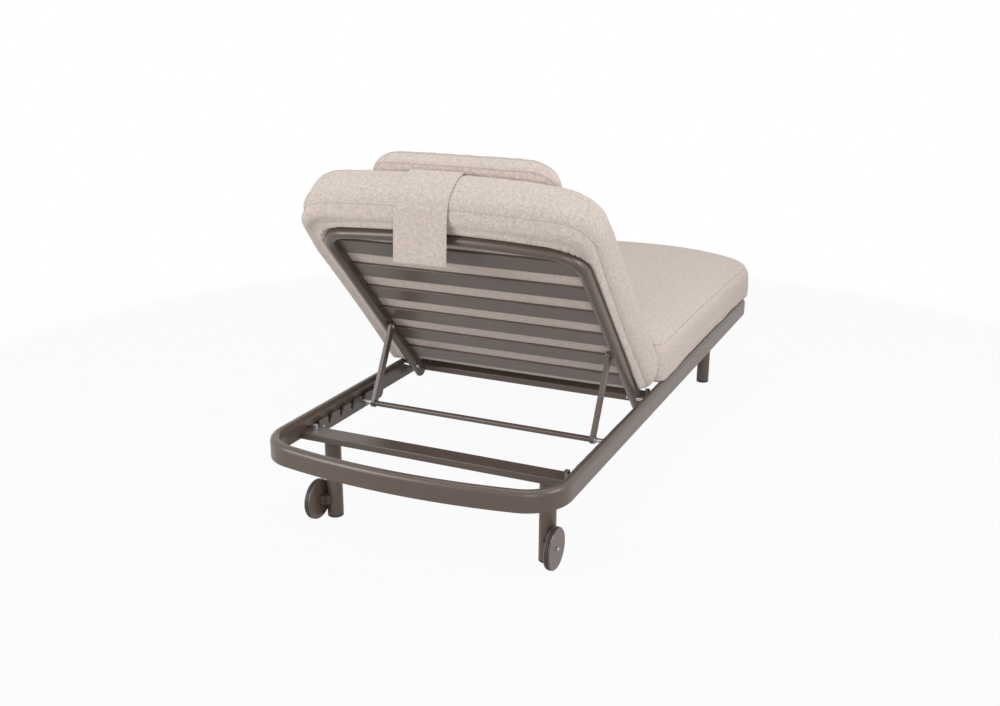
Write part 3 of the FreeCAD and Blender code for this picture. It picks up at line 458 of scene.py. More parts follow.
def stacked_form(name, rows, heights):
    """A closed mesh through a stack of outlines, flat at both ends."""
    count = len(rows[0])
    points = [(x, y, z) for row, z in zip(rows, heights) for x, y in row]
    faces = [list(reversed(range(count)))]
    for band in range(len(rows) - 1):
        start = band * count
        for step in range(count):
            following = (step + 1) % count
            faces.append((start + step, start + following,
                          start + count + following, start + count + step))
    faces.append([(len(rows) - 1) * count + step for step in range(count)])
    return mesh_object(name, points, faces)


def shade_smooth(mesh):
    for face in mesh.polygons:
        face.use_smooth = True


FOAM_FRAMES = 20


def foam_moves(name, rows, slack, voxel, reach, pressure=4.0):
    """Where a core's points start and how far the foam pushes them, both as arrays."""
    core = stacked_form(name, [outline(plan, inset + slack, WAIST)
                               for plan, inset, height in rows],
                        [height for plan, inset, height in rows])
    change = core.modifiers.new("remesh", "REMESH")
    change.mode = "VOXEL"
    change.voxel_size = voxel
    apply_modifiers(core)
    start = points_of(core.data)
    moved = np.zeros_like(start)
    cloth = core.modifiers.new("cover", "CLOTH")
    cloth.settings.use_pressure = True
    cloth.settings.uniform_pressure_force = pressure
    cloth.settings.effector_weights.gravity = 0.0
    cloth.settings.tension_stiffness = 25.0
    cloth.settings.compression_stiffness = 20.0
    cloth.settings.bending_stiffness = 1.2
    cloth.settings.quality = 5
    cloth.point_cache.frame_start = 1
    cloth.point_cache.frame_end = FOAM_FRAMES
    for number in range(1, FOAM_FRAMES + 1):
        bpy.context.scene.frame_set(number)
    apply_modifiers(core)
    bpy.context.scene.frame_set(1)
    moved = points_of(core.data) - start
    length = np.linalg.norm(moved, axis=1)
    moved *= np.minimum(1.0, reach / np.maximum(length, 1e-9))[:, None]
    mesh = core.data
    bpy.data.objects.remove(core)
    bpy.data.meshes.remove(mesh)
    print(name, "has", len(start), "points, moved up to", round(float(length.max()) * 1000, 1),
          "mm")
    return start, moved


print("core ready")

# %% [markdown]
# ## The visible cover
#
# The cover follows the same outlines, with many more rows. Between two seams its profile is a
# smooth curve; at a seam the cloth dips into a fine groove. The rows crowd there, so the groove
# is crisp. Along a seam the thread gathers the cloth a little, which shows as shallow waves.
#
# The weave is laid panel by panel: on the upper and lower panels it runs straight along the
# cushion, and on the border it runs along the seam. Each face corner stores its place on its
# panel in metres, as the attribute `weave`. A second attribute holds painted shade for the
# seams: it darkens the cloth there, most where the groove is deep.

# %% Cover maths
NO_SEAM = 9.0
FINE_STEP, MEDIUM_STEP = 0.0008, 0.0020
FINE_REACH, MEDIUM_REACH = 0.0030, 0.010
SEAM_SHADE_WIDTH, GROOVE_WIDTH = 0.0018, 0.0016
FOLD_WIDTH, FOLD_START = 0.014, 0.002
NEIGHBOURS = 4
SMOOTH_PASSES = 6


def bell(values, width):
    return np.exp(-(values / width) ** 2)


def eased(values):
    """0 below 0, 1 above 1, and a smooth step between."""
    share = np.clip(values, 0.0, 1.0)
    return share ** 2 * (3 - 2 * share)


def smooth_profile(controls, spacing, seam_low, seam_high, shares=None):
    """Resample one panel's profile, with close rows next to a seam, or at given shares."""
    controls = np.array(controls)
    steps = np.linalg.norm(np.diff(controls, axis=0), axis=1)
    knots = np.concatenate(([0.0], np.cumsum(steps)))
    slopes = np.gradient(controls, knots, axis=0)
    total = knots[-1]
    places = [0.0]
    while shares is None and places[-1] < total:
        ahead = places[-1]
        near = min(ahead if seam_low else NO_SEAM, total - ahead if seam_high else NO_SEAM)
        places.append(ahead + (FINE_STEP if near < FINE_REACH else
                               MEDIUM_STEP if near < MEDIUM_REACH else spacing))
    places = total * (np.array(places) / places[-1] if shares is None else shares)
    result = []
    for place in places:
        index = min(int(np.searchsorted(knots, place, side="right")) - 1, len(steps) - 1)
        width = steps[index]
        u = (place - knots[index]) / width
        h00, h10 = 2 * u ** 3 - 3 * u ** 2 + 1, u ** 3 - 2 * u ** 2 + u
        h01, h11 = -2 * u ** 3 + 3 * u ** 2, u ** 3 - u ** 2
        result.append(h00 * controls[index] + h10 * width * slopes[index]
                      + h01 * controls[index + 1] + h11 * width * slopes[index + 1])
    return np.array(result), places


def waves(travel, seed, lengths, size):
    """A gentle uneven wave along a seam: a few sines with fixed phases."""
    total = np.zeros_like(travel)
    for number, length in enumerate(lengths):
        turns = max(round(travel[-1] / length), 1)
        total += np.sin(2 * np.pi * turns * travel / travel[-1] + seed * 1.7 + number * 2.3)
    return total * (size / len(lengths))


def dome(x, inset, half, rise, reach):
    """How far a panel's middle stands over its seam: round across, rounder at the rim."""
    rim = np.sqrt(1 - (1 - np.minimum(inset, reach) / reach) ** 2)
    return rise * rim * np.sqrt(1 - np.minimum(np.abs(x) / (half + 0.02), 1.0) ** 2.3)


def cover(name, plan_at, panels, moves, counts, waist, rise, reach, share=0.4, groove=0.0006,
          pucker=0.0009, low_wave=0.0, sag=None, spacing=(0.009, 0.009, 0.009)):
    """The cover's mesh from three panel profiles: lower, border and upper.

    `sag` holds a second lower profile and a function that says how much of it each place has.
    """
    rows, sagged, seam_gap, panel_of, along_profile = [], [], [], [], []
    for number, controls in enumerate(panels):
        profile, places = smooth_profile(controls, spacing[number], number > 0, number < 2)
        other = profile
        if number == 0 and sag:
            other = smooth_profile(sag[0], 0.009, False, True, places / places[-1])[0]
        gap_low = places if number > 0 else np.full_like(places, NO_SEAM)
        gap_high = places[-1] - places if number < 2 else np.full_like(places, NO_SEAM)
        first = 0 if number == 0 else 1
        rows.extend(profile[first:])
        sagged.extend(other[first:])
        seam_gap.extend(np.minimum(gap_low, gap_high)[first:])
        panel_of.extend([number] * (len(profile) - first))
        along_profile.extend(places[first:] if number else places - places[-1])
    rows, seam_gap = np.array(rows), np.array(seam_gap)
    grid = []
    seam_height = panels[2][0][1]
    for (inset, height), (low_inset, low_height), panel in zip(rows, sagged, panel_of):
        ring = np.array(outline(plan_at(height), inset, waist, counts))
        if panel == 0 and sag:
            low_ring = np.array(outline(plan_at(low_height), low_inset, waist, counts))
            much = sag[1](ring[:, 0], ring[:, 1])
            ring += (low_ring - ring) * much[:, None]
            level = height + (low_height - height) * much
        elif panel == 2:
            level = seam_height + dome(ring[:, 0], inset, plan_at(height)[0], rise, reach)
        else:
            level = np.full(len(ring), height)
        grid.append(np.column_stack((ring, level)))
    grid = np.array(grid)
    loops = np.roll(grid, -1, axis=1) - grid
    widest = int(np.argmin(rows[:, 0]))
    travel = np.concatenate(([0.0], np.cumsum(np.linalg.norm(loops[widest], axis=1))))
    run = np.roll(grid, -1, axis=1) - np.roll(grid, 1, axis=1)
    normal = np.cross(run, np.gradient(grid, axis=0))
    normal /= np.maximum(np.linalg.norm(normal, axis=2, keepdims=True), 1e-12)
    start, moved = moves
    tree = KDTree(len(start))
    for number, place in enumerate(start):
        tree.insert(place, number)
    tree.balance()
    shift = np.zeros_like(grid)
    for row in range(0, grid.shape[0], 2):
        for column in range(0, grid.shape[1], 2):
            near = tree.find_n(grid[row, column], NEIGHBOURS)
            weight = np.array([1.0 / (found[2] + 0.002) for found in near])
            shift[row, column] = (moved[[found[1] for found in near]]
                                  * weight[:, None]).sum(axis=0) / weight.sum()
    odd = np.arange(1, grid.shape[1], 2)
    shift[:, odd] = (shift[:, odd - 1] + shift[:, (odd + 1) % grid.shape[1]]) / 2
    for row in range(1, grid.shape[0], 2):
        after = min(row + 1, grid.shape[0] - 1)
        shift[row] = (shift[row - 1] + shift[after]) / 2 if after != row else shift[row - 1]
    for repeat in range(SMOOTH_PASSES):
        shift = (shift + np.roll(shift, 1, axis=1) + np.roll(shift, -1, axis=1)) / 3
        shift[1:-1] = (shift[1:-1] + shift[:-2] + shift[2:]) / 3
    dip = groove * bell(seam_gap, GROOVE_WIDTH)
    fold = bell(seam_gap, FOLD_WIDTH) * (1 - bell(seam_gap, FOLD_START))
    ripple = waves(travel[:-1], len(name), (0.047, 0.061, 0.083), pucker)
    result = grid + shift * share
    result -= normal * dip[:, None, None]
    result += normal * (fold[:, None] * ripple[None, :])[:, :, None]
    if low_wave:
        sway = waves(travel[:-1], 3.1, (0.19, 0.31, 0.47), low_wave)
        low_rows = bell(rows[:, 1] - panels[1][0][1], 0.02)
        result[:, :, 2] += low_rows[:, None] * sway[None, :]
    count = grid.shape[1]
    points = result.reshape(-1, 3)
    faces = [list(reversed(range(count)))]
    weave = [grid[0, column, :2] for column in reversed(range(count))]
    for band in range(len(rows) - 1):
        border = panel_of[band + 1] == 1
        for step in range(count):
            following = (step + 1) % count
            quad = ((band, step), (band, following), (band + 1, following), (band + 1, step))
            faces.append(tuple(row * count + column for row, column in quad))
            if border:
                low, high = along_profile[band], along_profile[band + 1]
                low = 0.0 if panel_of[band] != 1 else low
                weave += [(travel[step], low), (travel[step + 1], low),
                          (travel[step + 1], high), (travel[step], high)]
            else:
                weave += [grid[row, column, :2] for row, column in quad]
    last = (len(rows) - 1) * count
    faces.append([last + step for step in range(count)])
    weave += [grid[-1, column, :2] for column in range(count)]
    piece = mesh_object(name, points, faces)
    mesh = piece.data
    weave = np.column_stack((np.array(weave), np.zeros(len(weave))))
    store(mesh, "weave", "FLOAT_VECTOR", "CORNER", "vector", weave)
    # Painted shade along the seams, deeper where the groove is deeper.
    painted_seam_shade = np.repeat(bell(seam_gap, SEAM_SHADE_WIDTH), count) * min(groove / GROOVE_WIDTH, 1.0)
    store(mesh, "painted_seam_shade", "FLOAT", "POINT", "value", painted_seam_shade)
    mesh.materials.append(CLOTH)
    shade_smooth(mesh)
    seams = [result[row] for row in range(len(rows)) if seam_gap[row] < 1e-6]
    print(name, "has", len(points), "points and", len(seams), "seams")
    return piece, seams


print("cover ready")

# %% [markdown]
# ## Stitches
#
# The seam thread shows as a dotted line. Each stitch is a tiny spindle of thread, half sunk into
# the seam, and hundreds of them make one mesh for each cushion and one for the strap.

# %% Stitches
SIDES = 6
SPINDLE = ((-0.5, 0.25), (-0.3, 0.9), (0.3, 0.9), (0.5, 0.25))


def walk(line, step, closed=True):
    """Points at equal steps along a line."""
    places = np.array([tuple(p) for p in line])
    if closed:
        places = np.vstack((places, places[:1]))
    lengths = np.concatenate(([0.0], np.cumsum(np.linalg.norm(np.diff(places, axis=0),
                                                              axis=1))))
    count = max(int(lengths[-1] / step), 2)
    wanted = np.linspace(0.0, lengths[-1], count, endpoint=not closed)
    return np.stack([np.interp(wanted, lengths, places[:, k]) for k in range(3)], axis=1)


def surface_of(piece):
    return BVHTree.FromObject(piece, bpy.context.evaluated_depsgraph_get())


def stitches(name, surface, lines, body, length=0.0034, pitch=0.0052, radius=0.0006):
    """Small spindles of thread, laid on a surface along lines."""
    points, faces = [], []
    for line, closed in lines:
        steps = walk(line, pitch, closed)
        for number, mark in enumerate(steps):
            ahead = steps[(number + 1) % len(steps)] if closed or number + 1 < len(steps) \
                else mark + (mark - steps[number - 1])
            spot, normal = surface.find_nearest(Vector(mark))[:2]
            run = Vector(ahead - mark)
            run = (run - normal * run.dot(normal)).normalized()
            side = normal.cross(run)
            first = len(points)
            for share, swell in SPINDLE:
                for corner in range(SIDES):
                    angle = math.tau / SIDES * corner
                    points.append(spot + run * (length * share)
                                  + (side * math.cos(angle) + normal * math.sin(angle))
                                  * (radius * swell))
            for ring in range(len(SPINDLE) - 1):
                low = first + ring * SIDES
                for corner in range(SIDES):
                    after = (corner + 1) % SIDES
                    faces.append((low + corner, low + after,
                                  low + SIDES + after, low + SIDES + corner))
            faces.append(tuple(first + corner for corner in reversed(range(SIDES))))
            faces.append(tuple(low + SIDES + corner for corner in range(SIDES)))
    piece = mesh_object(name, points, faces)
    piece.data.materials.append(THREAD_DARK)
    shade_smooth(piece.data)
    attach(piece, body)
    print(name, "has", len(points) // (SIDES * len(SPINDLE)), "stitches")


print("stitches ready")

# %% [markdown]
# ## The seat cushion
#
# The seat cushion is foam in a boxed cover, about 180 mm thick at its crown: an upper and a lower
# panel with a border strip of about 100 mm between them. It sinks a little between the tubes, so
# the lower panel is flat on the slats and climbs over the ring at its rim. After the filling the
# rim is kept clear of the ring, whose upper side is round.

# %% Seat cushion
COUNTS = (150, 18, 76)
SEAT_PLAN = (0.379, -0.992, 0.136, 0.058, 0.030, 0.024, 0.004)
LOW_SEAM, HIGH_SEAM = 0.2695, 0.372

seat_lower = [(0.362, 0.2546), (0.25, 0.2546), (0.12, 0.2546), (0.045, 0.2546),
              (0.030, 0.2560), (0.018, 0.2620), (0.009, 0.2672), (0.0, 0.2682),
              (-0.008, 0.2672), (-0.0115, LOW_SEAM)]
seat_border = [(-0.0115, LOW_SEAM), (-0.0135, 0.281), (-0.0137, 0.300), (-0.0133, 0.320),
               (-0.0120, 0.342), (-0.0075, 0.361), (0.0, HIGH_SEAM)]
seat_upper = [(0.0, HIGH_SEAM), (0.006, 0.3800), (0.018, 0.3905), (0.045, 0.4060),
              (0.09, 0.4200), (0.16, 0.4290), (0.26, 0.4340), (0.362, 0.4350)]
core_rows = [(SEAT_PLAN, inset, height)
             for inset, height in seat_lower[3:] + seat_border[1:] + seat_upper[1:7]]
seat_moves = foam_moves("seat_core", core_rows, 0.003, 0.014, 0.008)
seat_pad, seat_seams = cover("seat_pad", lambda height: SEAT_PLAN,
                             (seat_lower, seat_border, seat_upper), seat_moves, COUNTS,
                             WAIST, 0.0610, 0.12, low_wave=0.0024)


def ring_inset(x, y):
    """How far inside the base ring's outer edge a place is, near its foot end and sides."""
    half, radius, centre_x, centre_y = 0.394, 0.113, 0.281, -0.8598
    end_radius, end_centre = 1.5774, 0.5774
    side = half - np.abs(x)
    end = end_radius - np.hypot(x, y - end_centre)
    corner = radius - np.hypot(np.abs(x) - centre_x, y - centre_y)
    in_corner = (np.abs(x) > centre_x) & (y < centre_y)
    return np.where(in_corner, corner, np.minimum(side, end))


TUBE_RADIUS, TUBE_AXIS = 0.013, 0.2543
AIR = 0.0005
SEAT_TOP = 0.4420
places = points_of(seat_pad.data)
inset = ring_inset(places[:, 0], places[:, 1])
tube = TUBE_AXIS + np.sqrt(np.clip(TUBE_RADIUS ** 2 - (inset - TUBE_RADIUS) ** 2, 0.0, None))
bottom = np.where(inset > -0.001, tube, TUBE_AXIS) + AIR
places[:, 2] = np.clip(places[:, 2], bottom, SEAT_TOP)
set_points(seat_pad.data, places)
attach(seat_pad, "base")
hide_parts("seat_cushion")
stitches("seat_stitches", surface_of(seat_pad), [(seat_seams[1], True)], "base")
print("seat pad:", len(seat_pad.data.vertices), "points")

# %% [markdown]
# ## The back cushion
#
# The back cushion is made flat, in the back's own axes, and tilted afterwards. Its lower end
# leans towards the seat, so the two cushions meet when the back is up. It overhangs the frame at
# the sides and the head end. The frame presses a bed into its rear panel, and beside the left
# tube the panel sags a little, as soft foam does past an edge. After the filling, the cushion is
# kept clear of the frame, of the base ring beside it and of the seat below.

# %% Back cushion
BACK_LOW = -0.008
BACK_LEAN = 0.004
REAR_SEAM, FRONT_SEAM = 0.037, 0.138


def back_plan(out):
    """The plan at a distance from the frame, with the lower end leaned."""
    share = min(max((out - REAR_SEAM) / (FRONT_SEAM - REAR_SEAM), 0.0), 1.0)
    return (0.378, BACK_LOW - BACK_LEAN * share, 0.760, 0.030, 0.084, 0.004, 0.024)


back_lower = [(0.362, 0.0226), (0.25, 0.0226), (0.12, 0.0226), (0.080, 0.0226),
              (0.067, 0.0200), (0.061, 0.0115), (0.054, 0.0082), (0.046, 0.0095),
              (0.038, 0.0125), (0.029, 0.0140), (0.019, 0.0180), (0.010, 0.0250),
              (0.004, 0.0315), (0.0, REAR_SEAM)]
back_sagged = [(0.362, 0.0226), (0.25, 0.0226), (0.12, 0.0226), (0.045, 0.0226),
               (0.031, 0.0224), (0.021, 0.0190), (0.010, 0.0125), (0.0, 0.0085),
               (-0.014, 0.0065), (-0.0245, 0.0095), (-0.0280, 0.0175), (-0.0190, 0.0290),
               (0.0, REAR_SEAM)]


def back_sag(x, y):
    """More on the left side, a little on the right, none at the ends."""
    side = eased((np.abs(x) - 0.285) / 0.075)
    ends = np.clip((y + 0.008) / 0.035, 0.0, 1.0) * (1 - 0.45 * np.clip((y - 0.56) / 0.16, 0, 1))
    return side * ends * np.where(x > 0, 1.0, 0.2)


back_border = [(0.0, REAR_SEAM), (-0.0090, 0.047), (-0.0145, 0.062), (-0.0165, 0.080),
               (-0.0165, 0.096), (-0.0130, 0.115), (-0.0065, 0.130), (0.0, FRONT_SEAM)]
back_upper = [(0.0, FRONT_SEAM), (0.010, 0.1425), (0.030, 0.1455), (0.065, 0.1475),
              (0.12, 0.1488), (0.20, 0.1495), (0.29, 0.1498), (0.362, 0.1500)]
core_rows = [(back_plan(height), inset, height)
             for inset, height in back_lower[3:4] + back_lower[9:] + back_border[1:]
             + back_upper[1:7]]
back_moves = foam_moves("back_core", core_rows, 0.003, 0.014, 0.008)
back_pad, back_seams = cover("back_pad", back_plan, (back_lower, back_border, back_upper),
                             back_moves, COUNTS, WAIST, 0.0125, 0.08,
                             sag=(back_sagged, back_sag), spacing=(0.005, 0.009, 0.009))


def back_shaped(places):
    """The tension across the pad: a rounder right head corner and a fuller left rim."""
    x, along, out = places.T
    corner = (eased((-x - 0.20) / 0.20) * eased((along - 0.56) / 0.22)
              * eased((out - 0.03) / 0.10))
    rim = eased((x - 0.29) / 0.08) * bell(out - 0.046, 0.028)
    low = eased((0.05 - along) / 0.06) * bell(out - 0.066, 0.040)
    return np.column_stack((x + 0.006 + 0.015 * corner + 0.012 * rim,
                            along - 0.015 * corner - 0.017 * low, out))


def frame_inset(side, along):
    """How far inside the back frame's outer edge a place is."""
    half, radius, centre_side, centre_along = 0.351, 0.078, 0.273, 0.5985
    end_radius, end_centre = 2.2140, -1.5200
    end = end_radius - np.hypot(side, along - end_centre)
    corner = radius - np.hypot(side - centre_side, along - centre_along)
    in_corner = (side > centre_side) & (along > centre_along)
    return np.where(in_corner, corner, np.minimum(half - side, end))


ON_TUBE, OVER_RING, BESIDE_FRAME, PAST_RING = 0.0225, 0.0131, 0.0040, 0.0055
BACK_TOP = 0.1503
places = back_shaped(points_of(back_pad.data))
side = np.abs(places[:, 0])
over_ring = ring_inset(places[:, 0], -HINGE_Y - places[:, 1])
beside = np.where(side > 0.3945, PAST_RING, BESIDE_FRAME)
beside = np.where((over_ring > -0.002) & (over_ring < 0.028), OVER_RING, beside)
hinge_rise = np.where(side > 0.366, (0.0128 - 0.723 * places[:, 1]) / 0.691, 0.0)
beside = np.maximum(beside, hinge_rise)
on_frame = eased((frame_inset(side, places[:, 1]) + 0.0070) / 0.0062)
rest = beside + np.maximum(ON_TUBE - beside, 0.0) * on_frame
places[:, 2] = np.clip(places[:, 2], rest, BACK_TOP)
set_points(back_pad.data, places)
back_pad.data.transform(BACK)
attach(back_pad, "back")
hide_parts("back_cushion")
back_surface = surface_of(back_pad)
stitches("back_stitches", back_surface,
         [([BACK @ Vector(place) for place in back_shaped(line)], True)
          for line in back_seams], "back")
print("back pad:", len(back_pad.data.vertices), "points")

# %% [markdown]
# ## The head pillow
#
# The pillow is thinner than the cushions and its seams are drawn in deeper. It lies near the
# head end and is held by the weighted strap alone, which is why it can slide along the back.

# %% Pillow
PILLOW_REAR, PILLOW_FRONT = 0.171, 0.209


def pillow_plan(out):
    """The pillow's plan, a little smaller towards its front panel."""
    taper = 0.011 * min(max((out - PILLOW_REAR) / (PILLOW_FRONT - PILLOW_REAR), 0.0), 1.0)
    return (0.249 - taper, 0.480 + taper, 0.747 - taper / 2, 0.062, 0.062, 0.004, 0.004)


pillow_lower = [(0.112, 0.1508), (0.09, 0.1508), (0.052, 0.1508), (0.030, 0.1525),
                (0.013, 0.1590), (0.0035, 0.1660), (0.0, PILLOW_REAR)]
pillow_border = [(0.0, PILLOW_REAR), (-0.0040, 0.180), (-0.0052, 0.190), (-0.0040, 0.200),
                 (0.0, PILLOW_FRONT)]
pillow_upper = [(0.0, PILLOW_FRONT), (0.006, 0.2135), (0.018, 0.2200), (0.040, 0.2270),
                (0.070, 0.2315), (0.100, 0.2330)]
core_rows = [(pillow_plan(height), inset, height)
             for inset, height in pillow_lower[2:] + pillow_border[1:] + pillow_upper[1:5]]
pillow_moves = foam_moves("pillow_core", core_rows, 0.003, 0.010, 0.008)
pillow, pillow_seams = cover("head_pillow", pillow_plan,
                             (pillow_lower, pillow_border, pillow_upper), pillow_moves,
                             (44, 16, 84), 0.003, 0.0205, 0.080, groove=0.0014)
PILLOW_BOTTOM, PILLOW_TOP = 0.1507, 0.2400
places = points_of(pillow.data)
places[:, 2] = np.clip(places[:, 2], PILLOW_BOTTOM, PILLOW_TOP)
set_points(pillow.data, places)
pillow.data.transform(BACK)
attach(pillow, "pillow")
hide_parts("pillow")
stitches("pillow_stitches", surface_of(pillow),
         [([BACK @ Vector(place) for place in line], True) for line in pillow_seams],
         "pillow")
print("pillow:", len(pillow.data.vertices), "points")

# %% [markdown]
# ## The weighted strap
#
# A flat strap of doubled cloth is sewn on under the pillow, near its rear seam. It goes over the
# end of the back cushion and hangs behind it, and a weight in its hem holds the pillow in place.
# Two pieces make it here: one lies on the cushion under the pillow, the other hangs plumb
# behind it. Each is a grid of points for the middle of the cloth, thickened both
# ways along its normals, with thin edges and a thicker hem.

# %% Strap tools
STRAP_LEFT, STRAP_RIGHT = -0.034, 0.108


def thick_cloth(name, grid, thickness):
    """A closed sheet round a grid of middle points, with a thickness for each point."""
    rows, columns = grid.shape[:2]
    down = np.gradient(grid, axis=0)
    across = np.gradient(grid, axis=1)
    normal = np.cross(across, down)
    normal /= np.linalg.norm(normal, axis=2, keepdims=True)
    half = (thickness / 2)[:, :, None]
    points = np.concatenate(((grid + normal * half).reshape(-1, 3),
                             (grid - normal * half).reshape(-1, 3)))
    other = rows * columns
    faces = []
    for row in range(rows - 1):
        for column in range(columns - 1):
            a = row * columns + column
            b, c, d = a + 1, a + columns + 1, a + columns
            faces.append((a, d, c, b))
            faces.append((other + a, other + b, other + c, other + d))
    rim = ([(0, k) for k in range(columns)]
           + [(k, columns - 1) for k in range(1, rows)]
           + [(rows - 1, k) for k in range(columns - 2, -1, -1)]
           + [(k, 0) for k in range(rows - 2, 0, -1)])
    for number, (row, column) in enumerate(rim):
        next_row, next_column = rim[(number + 1) % len(rim)]
        a = row * columns + column
        b = next_row * columns + next_column
        faces.append((a, b, other + b, other + a))
    piece = mesh_object(name, points, faces)
    piece.data.validate()
    return piece


def dress_strap(piece, grid):
    """Weave places across and along the strap, one finer level, cloth and smooth shading."""
    rows, columns = grid.shape[:2]
    steps = np.linalg.norm(np.diff(grid[:, columns // 2], axis=0), axis=1)
    along = np.repeat(np.concatenate(([0.0], np.cumsum(steps))), columns)
    flat = np.stack((np.tile(grid[0, :, 0], rows), along, np.zeros(rows * columns)), axis=1)
    flat = np.concatenate((flat, flat))
    mesh = piece.data
    corners = np.empty(len(mesh.loops), np.int64)
    mesh.loops.foreach_get("vertex_index", corners)
    store(mesh, "weave", "FLOAT_VECTOR", "CORNER", "vector", flat[corners])
    change = piece.modifiers.new("finer", "SUBSURF")
    change.levels = 1
    change.render_levels = 1
    apply_modifiers(piece)
    piece.data.materials.append(CLOTH)
    shade_smooth(piece.data)


print("strap tools ready")

# %% Strap over the cushion
strap_x = np.concatenate((STRAP_LEFT + np.array([0.0, 0.001, 0.003, 0.0048, 0.0066]),
                          np.linspace(STRAP_LEFT + 0.010, STRAP_RIGHT - 0.010, 27),
                          STRAP_RIGHT - np.array([0.0066, 0.0048, 0.003, 0.001, 0.0])))
edge = np.minimum(strap_x - STRAP_LEFT, STRAP_RIGHT - strap_x)
across_thickness = (np.clip(edge / 0.0015, 0.4, 1.0)
                    * (1.0 - 0.30 * bell(edge - 0.0048, 0.0015)))
CLOTH_THICK = 0.0026

to_back = BACK.inverted()
out_levels = np.linspace(0.134, 0.040, 22)
columns = []
for x in strap_x:
    column = [(0.7290, 0.1560), (0.7345, 0.1545), (0.7400, 0.1527), (0.7455, 0.1506),
              (0.7510, 0.1482), (0.7565, 0.1450), (0.7620, 0.1405)]
    for out in out_levels:
        origin = on_back(x, 0.90, out)
        hit = back_surface.ray_cast(origin, -(BACK.to_3x3() @ Vector((0, 1, 0))))[0]
        column.append(((to_back @ hit).y + 0.0022, out))
    columns.append(column)
profile = np.array(columns)
profile[:, 7:, 0] = np.maximum(profile[:, 7:, 0], profile[:, 7:, 0].mean(axis=0) - 0.002)
grid = np.empty((profile.shape[1], len(strap_x), 3))
for column, x in enumerate(strap_x):
    for row in range(profile.shape[1]):
        along, out = profile[column, row]
        grid[row, column] = on_back(x - 0.005 * (1 - row / (profile.shape[1] - 1)), along, out)
thickness = np.full(grid.shape[:2], CLOTH_THICK) * across_thickness[None, :]
thickness[-2:] *= np.array([[0.95], [0.8]])
strap_over = thick_cloth("strap_over", grid, thickness)
dress_strap(strap_over, grid)
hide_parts("strap_band")

# %% Strap that hangs
start = grid[-1].copy()
TAIL_LENGTH = 0.142
HEM = 0.024
FIRST_SLOPE, STRAIGHTENS = math.radians(46.0), 0.016
rows = 46
travel = np.linspace(0.0, TAIL_LENGTH, rows)
hang = np.empty((rows + 2, len(strap_x), 3))
hang[:2] = grid[-3:-1]
for column, x in enumerate(strap_x):
    share = (x - STRAP_LEFT) / (STRAP_RIGHT - STRAP_LEFT)
    y, z = start[column, 1], start[column, 2]
    for row in range(rows):
        if row:
            slope = FIRST_SLOPE * max(0.0, 1 - travel[row] / STRAIGHTENS) ** 1.3
            step = travel[row] - travel[row - 1]
            y += step * math.sin(slope)
            z -= step * math.cos(slope)
        free = min(travel[row] / 0.05, 1.0)
        ripple = 0.0011 * math.sin(2 * math.pi * (share * 1.3 + 0.15)) * free
        hang[row + 2, column] = (x + 0.026 * travel[row], y + ripple, z)
from_bottom = np.concatenate(([TAIL_LENGTH, TAIL_LENGTH], TAIL_LENGTH - travel))
hem_share = 1 / (1 + np.exp((from_bottom - HEM + 0.001) / 0.0009))
pocket = bell(from_bottom - HEM, 0.0016)
weight_bulge = np.clip(np.sin(np.clip(from_bottom / HEM, 0, 1) * math.pi), 0, 1)
row_thickness = (CLOTH_THICK + hem_share * (0.0012 + 0.0022 * weight_bulge)
                 - 0.0012 * pocket)
row_thickness *= np.clip(from_bottom / 0.002, 0.45, 1.0)
row_thickness[:3] *= (0.4, 0.7, 0.9)
thickness = row_thickness[:, None] * across_thickness[None, :]
strap_hanging = thick_cloth("strap_hanging", hang, thickness)
dress_strap(strap_hanging, hang)
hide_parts("strap_tail", "strap_weight")
hanging_surface = surface_of(strap_hanging)
hem_row = int(np.argmin(np.abs(from_bottom - HEM)))
outward = np.array((0.0, 0.01, 0.0))
stitches("strap_stitches", hanging_surface,
         [(hang[hem_row, 2:-2] + outward, False), (hang[10:, 3] + outward, False),
          (hang[10:, -4] + outward, False)], "strap_tail", pitch=0.0042, length=0.0028)
print("strap hanging:", len(strap_hanging.data.vertices), "points")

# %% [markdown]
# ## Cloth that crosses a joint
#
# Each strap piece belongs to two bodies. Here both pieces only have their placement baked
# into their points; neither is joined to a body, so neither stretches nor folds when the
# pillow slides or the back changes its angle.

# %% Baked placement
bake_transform(strap_over)
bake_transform(strap_hanging)

# %% [markdown]
# ## Floor and light
#
# The floor is nearly white to the camera but still takes a faint shadow of the lounger: a small
# part of its shading is real diffuse light and the rest is a plain glow that only the camera and
# reflections see. The share of glow grows with the distance, so the floor fades out softly.
# The world does the same for the background. Four soft lamps light the lounger, two behind its
# head end, one beside it and one above, at a level where a colour renders about as written.

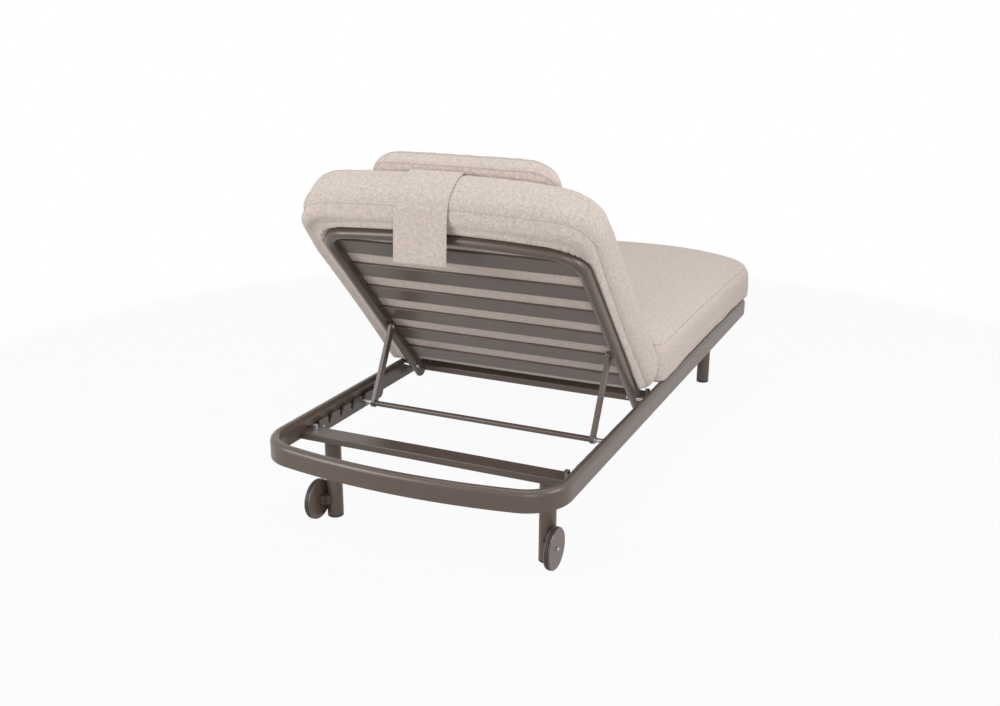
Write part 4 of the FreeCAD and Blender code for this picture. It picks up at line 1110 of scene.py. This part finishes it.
# %% Floor, world and lamps
def floor_material():
    material, make = finish_with("studio_floor", Base_Color=(0.42, 0.40, 0.39, 1),
                                 Roughness=0.9, Specular_IOR_Level=0.0)
    tree = material.node_tree
    plain = Wire(tree, tree.nodes["Principled BSDF"].outputs[0])
    glow = make.node("Emission", None, {"Strength": 1.0})
    seen = make.node("LightPath", output="Is Camera Ray")
    mirrored = make.node("LightPath", output="Is Glossy Ray")
    place = make.node("TexCoord", output="Object")
    away = make.node("VectorMath", {"operation": "LENGTH"}, {0: place}, "Value")
    far = make.node("MapRange", {"interpolation_type": "SMOOTHERSTEP"},
                    {"Value": away, "From Min": 0.7, "From Max": 2.6})
    near_share = make.maths("MAXIMUM", seen * 0.95, mirrored * 0.80)
    share = make.maths("MAXIMUM", near_share, make.maths("MAXIMUM", seen, mirrored) * far)
    mix = make.node("MixShader", None, {0: share, 1: plain, 2: glow})
    tree.links.new(mix.socket, tree.nodes["Material Output"].inputs["Surface"])
    return material


FLOOR = 14
floor = mesh_object("floor", [(-FLOOR, -FLOOR, 0), (FLOOR, -FLOOR, 0), (FLOOR, FLOOR, 0),
                              (-FLOOR, FLOOR, 0)], [(0, 1, 2, 3)])
floor.data.materials.append(floor_material())

world = bpy.data.worlds.new("studio")
world.use_nodes = True
make = Wire(world.node_tree)
camera_ray = make.node("LightPath", output="Is Camera Ray")
glossy_ray = make.node("LightPath", output="Is Glossy Ray")
through_ray = make.node("LightPath", output="Is Transmission Ray")
seen = make.maths("MAXIMUM", make.maths("MAXIMUM", camera_ray, glossy_ray), through_ray)
background = world.node_tree.nodes["Background"]
background.inputs["Color"].default_value = (1, 1, 1, 1)
make.plug(background.inputs["Strength"], seen.between(0.16, 1.0))
bpy.context.scene.world = world


def lamp(name, place, aim, size, watts):
    data = bpy.data.lights.new(name, "AREA")
    data.shape = "DISK"
    data.size = size
    data.energy = watts
    made = add_object(name, data)
    made.location = place
    made.rotation_euler = (Vector(aim) - Vector(place)).to_track_quat("-Z", "Y").to_euler()


lamp("left back", (2.4, 3.6, 1.6), (0.0, 0.2, 0.5), 2.4, 104.0)
lamp("right side", (-3.8, 0.4, 2.0), (0.0, 0.0, 0.4), 2.4, 90.0)
lamp("top", (0.0, -0.2, 3.9), (0.0, 0.0, 0.3), 3.0, 62.0)
lamp("right back", (-2.4, 4.0, 1.0), (0.0, 0.2, 0.5), 1.8, 42.0)

view = bpy.context.scene.view_settings
view.view_transform = "Standard"
print("floor, world and lamps set")
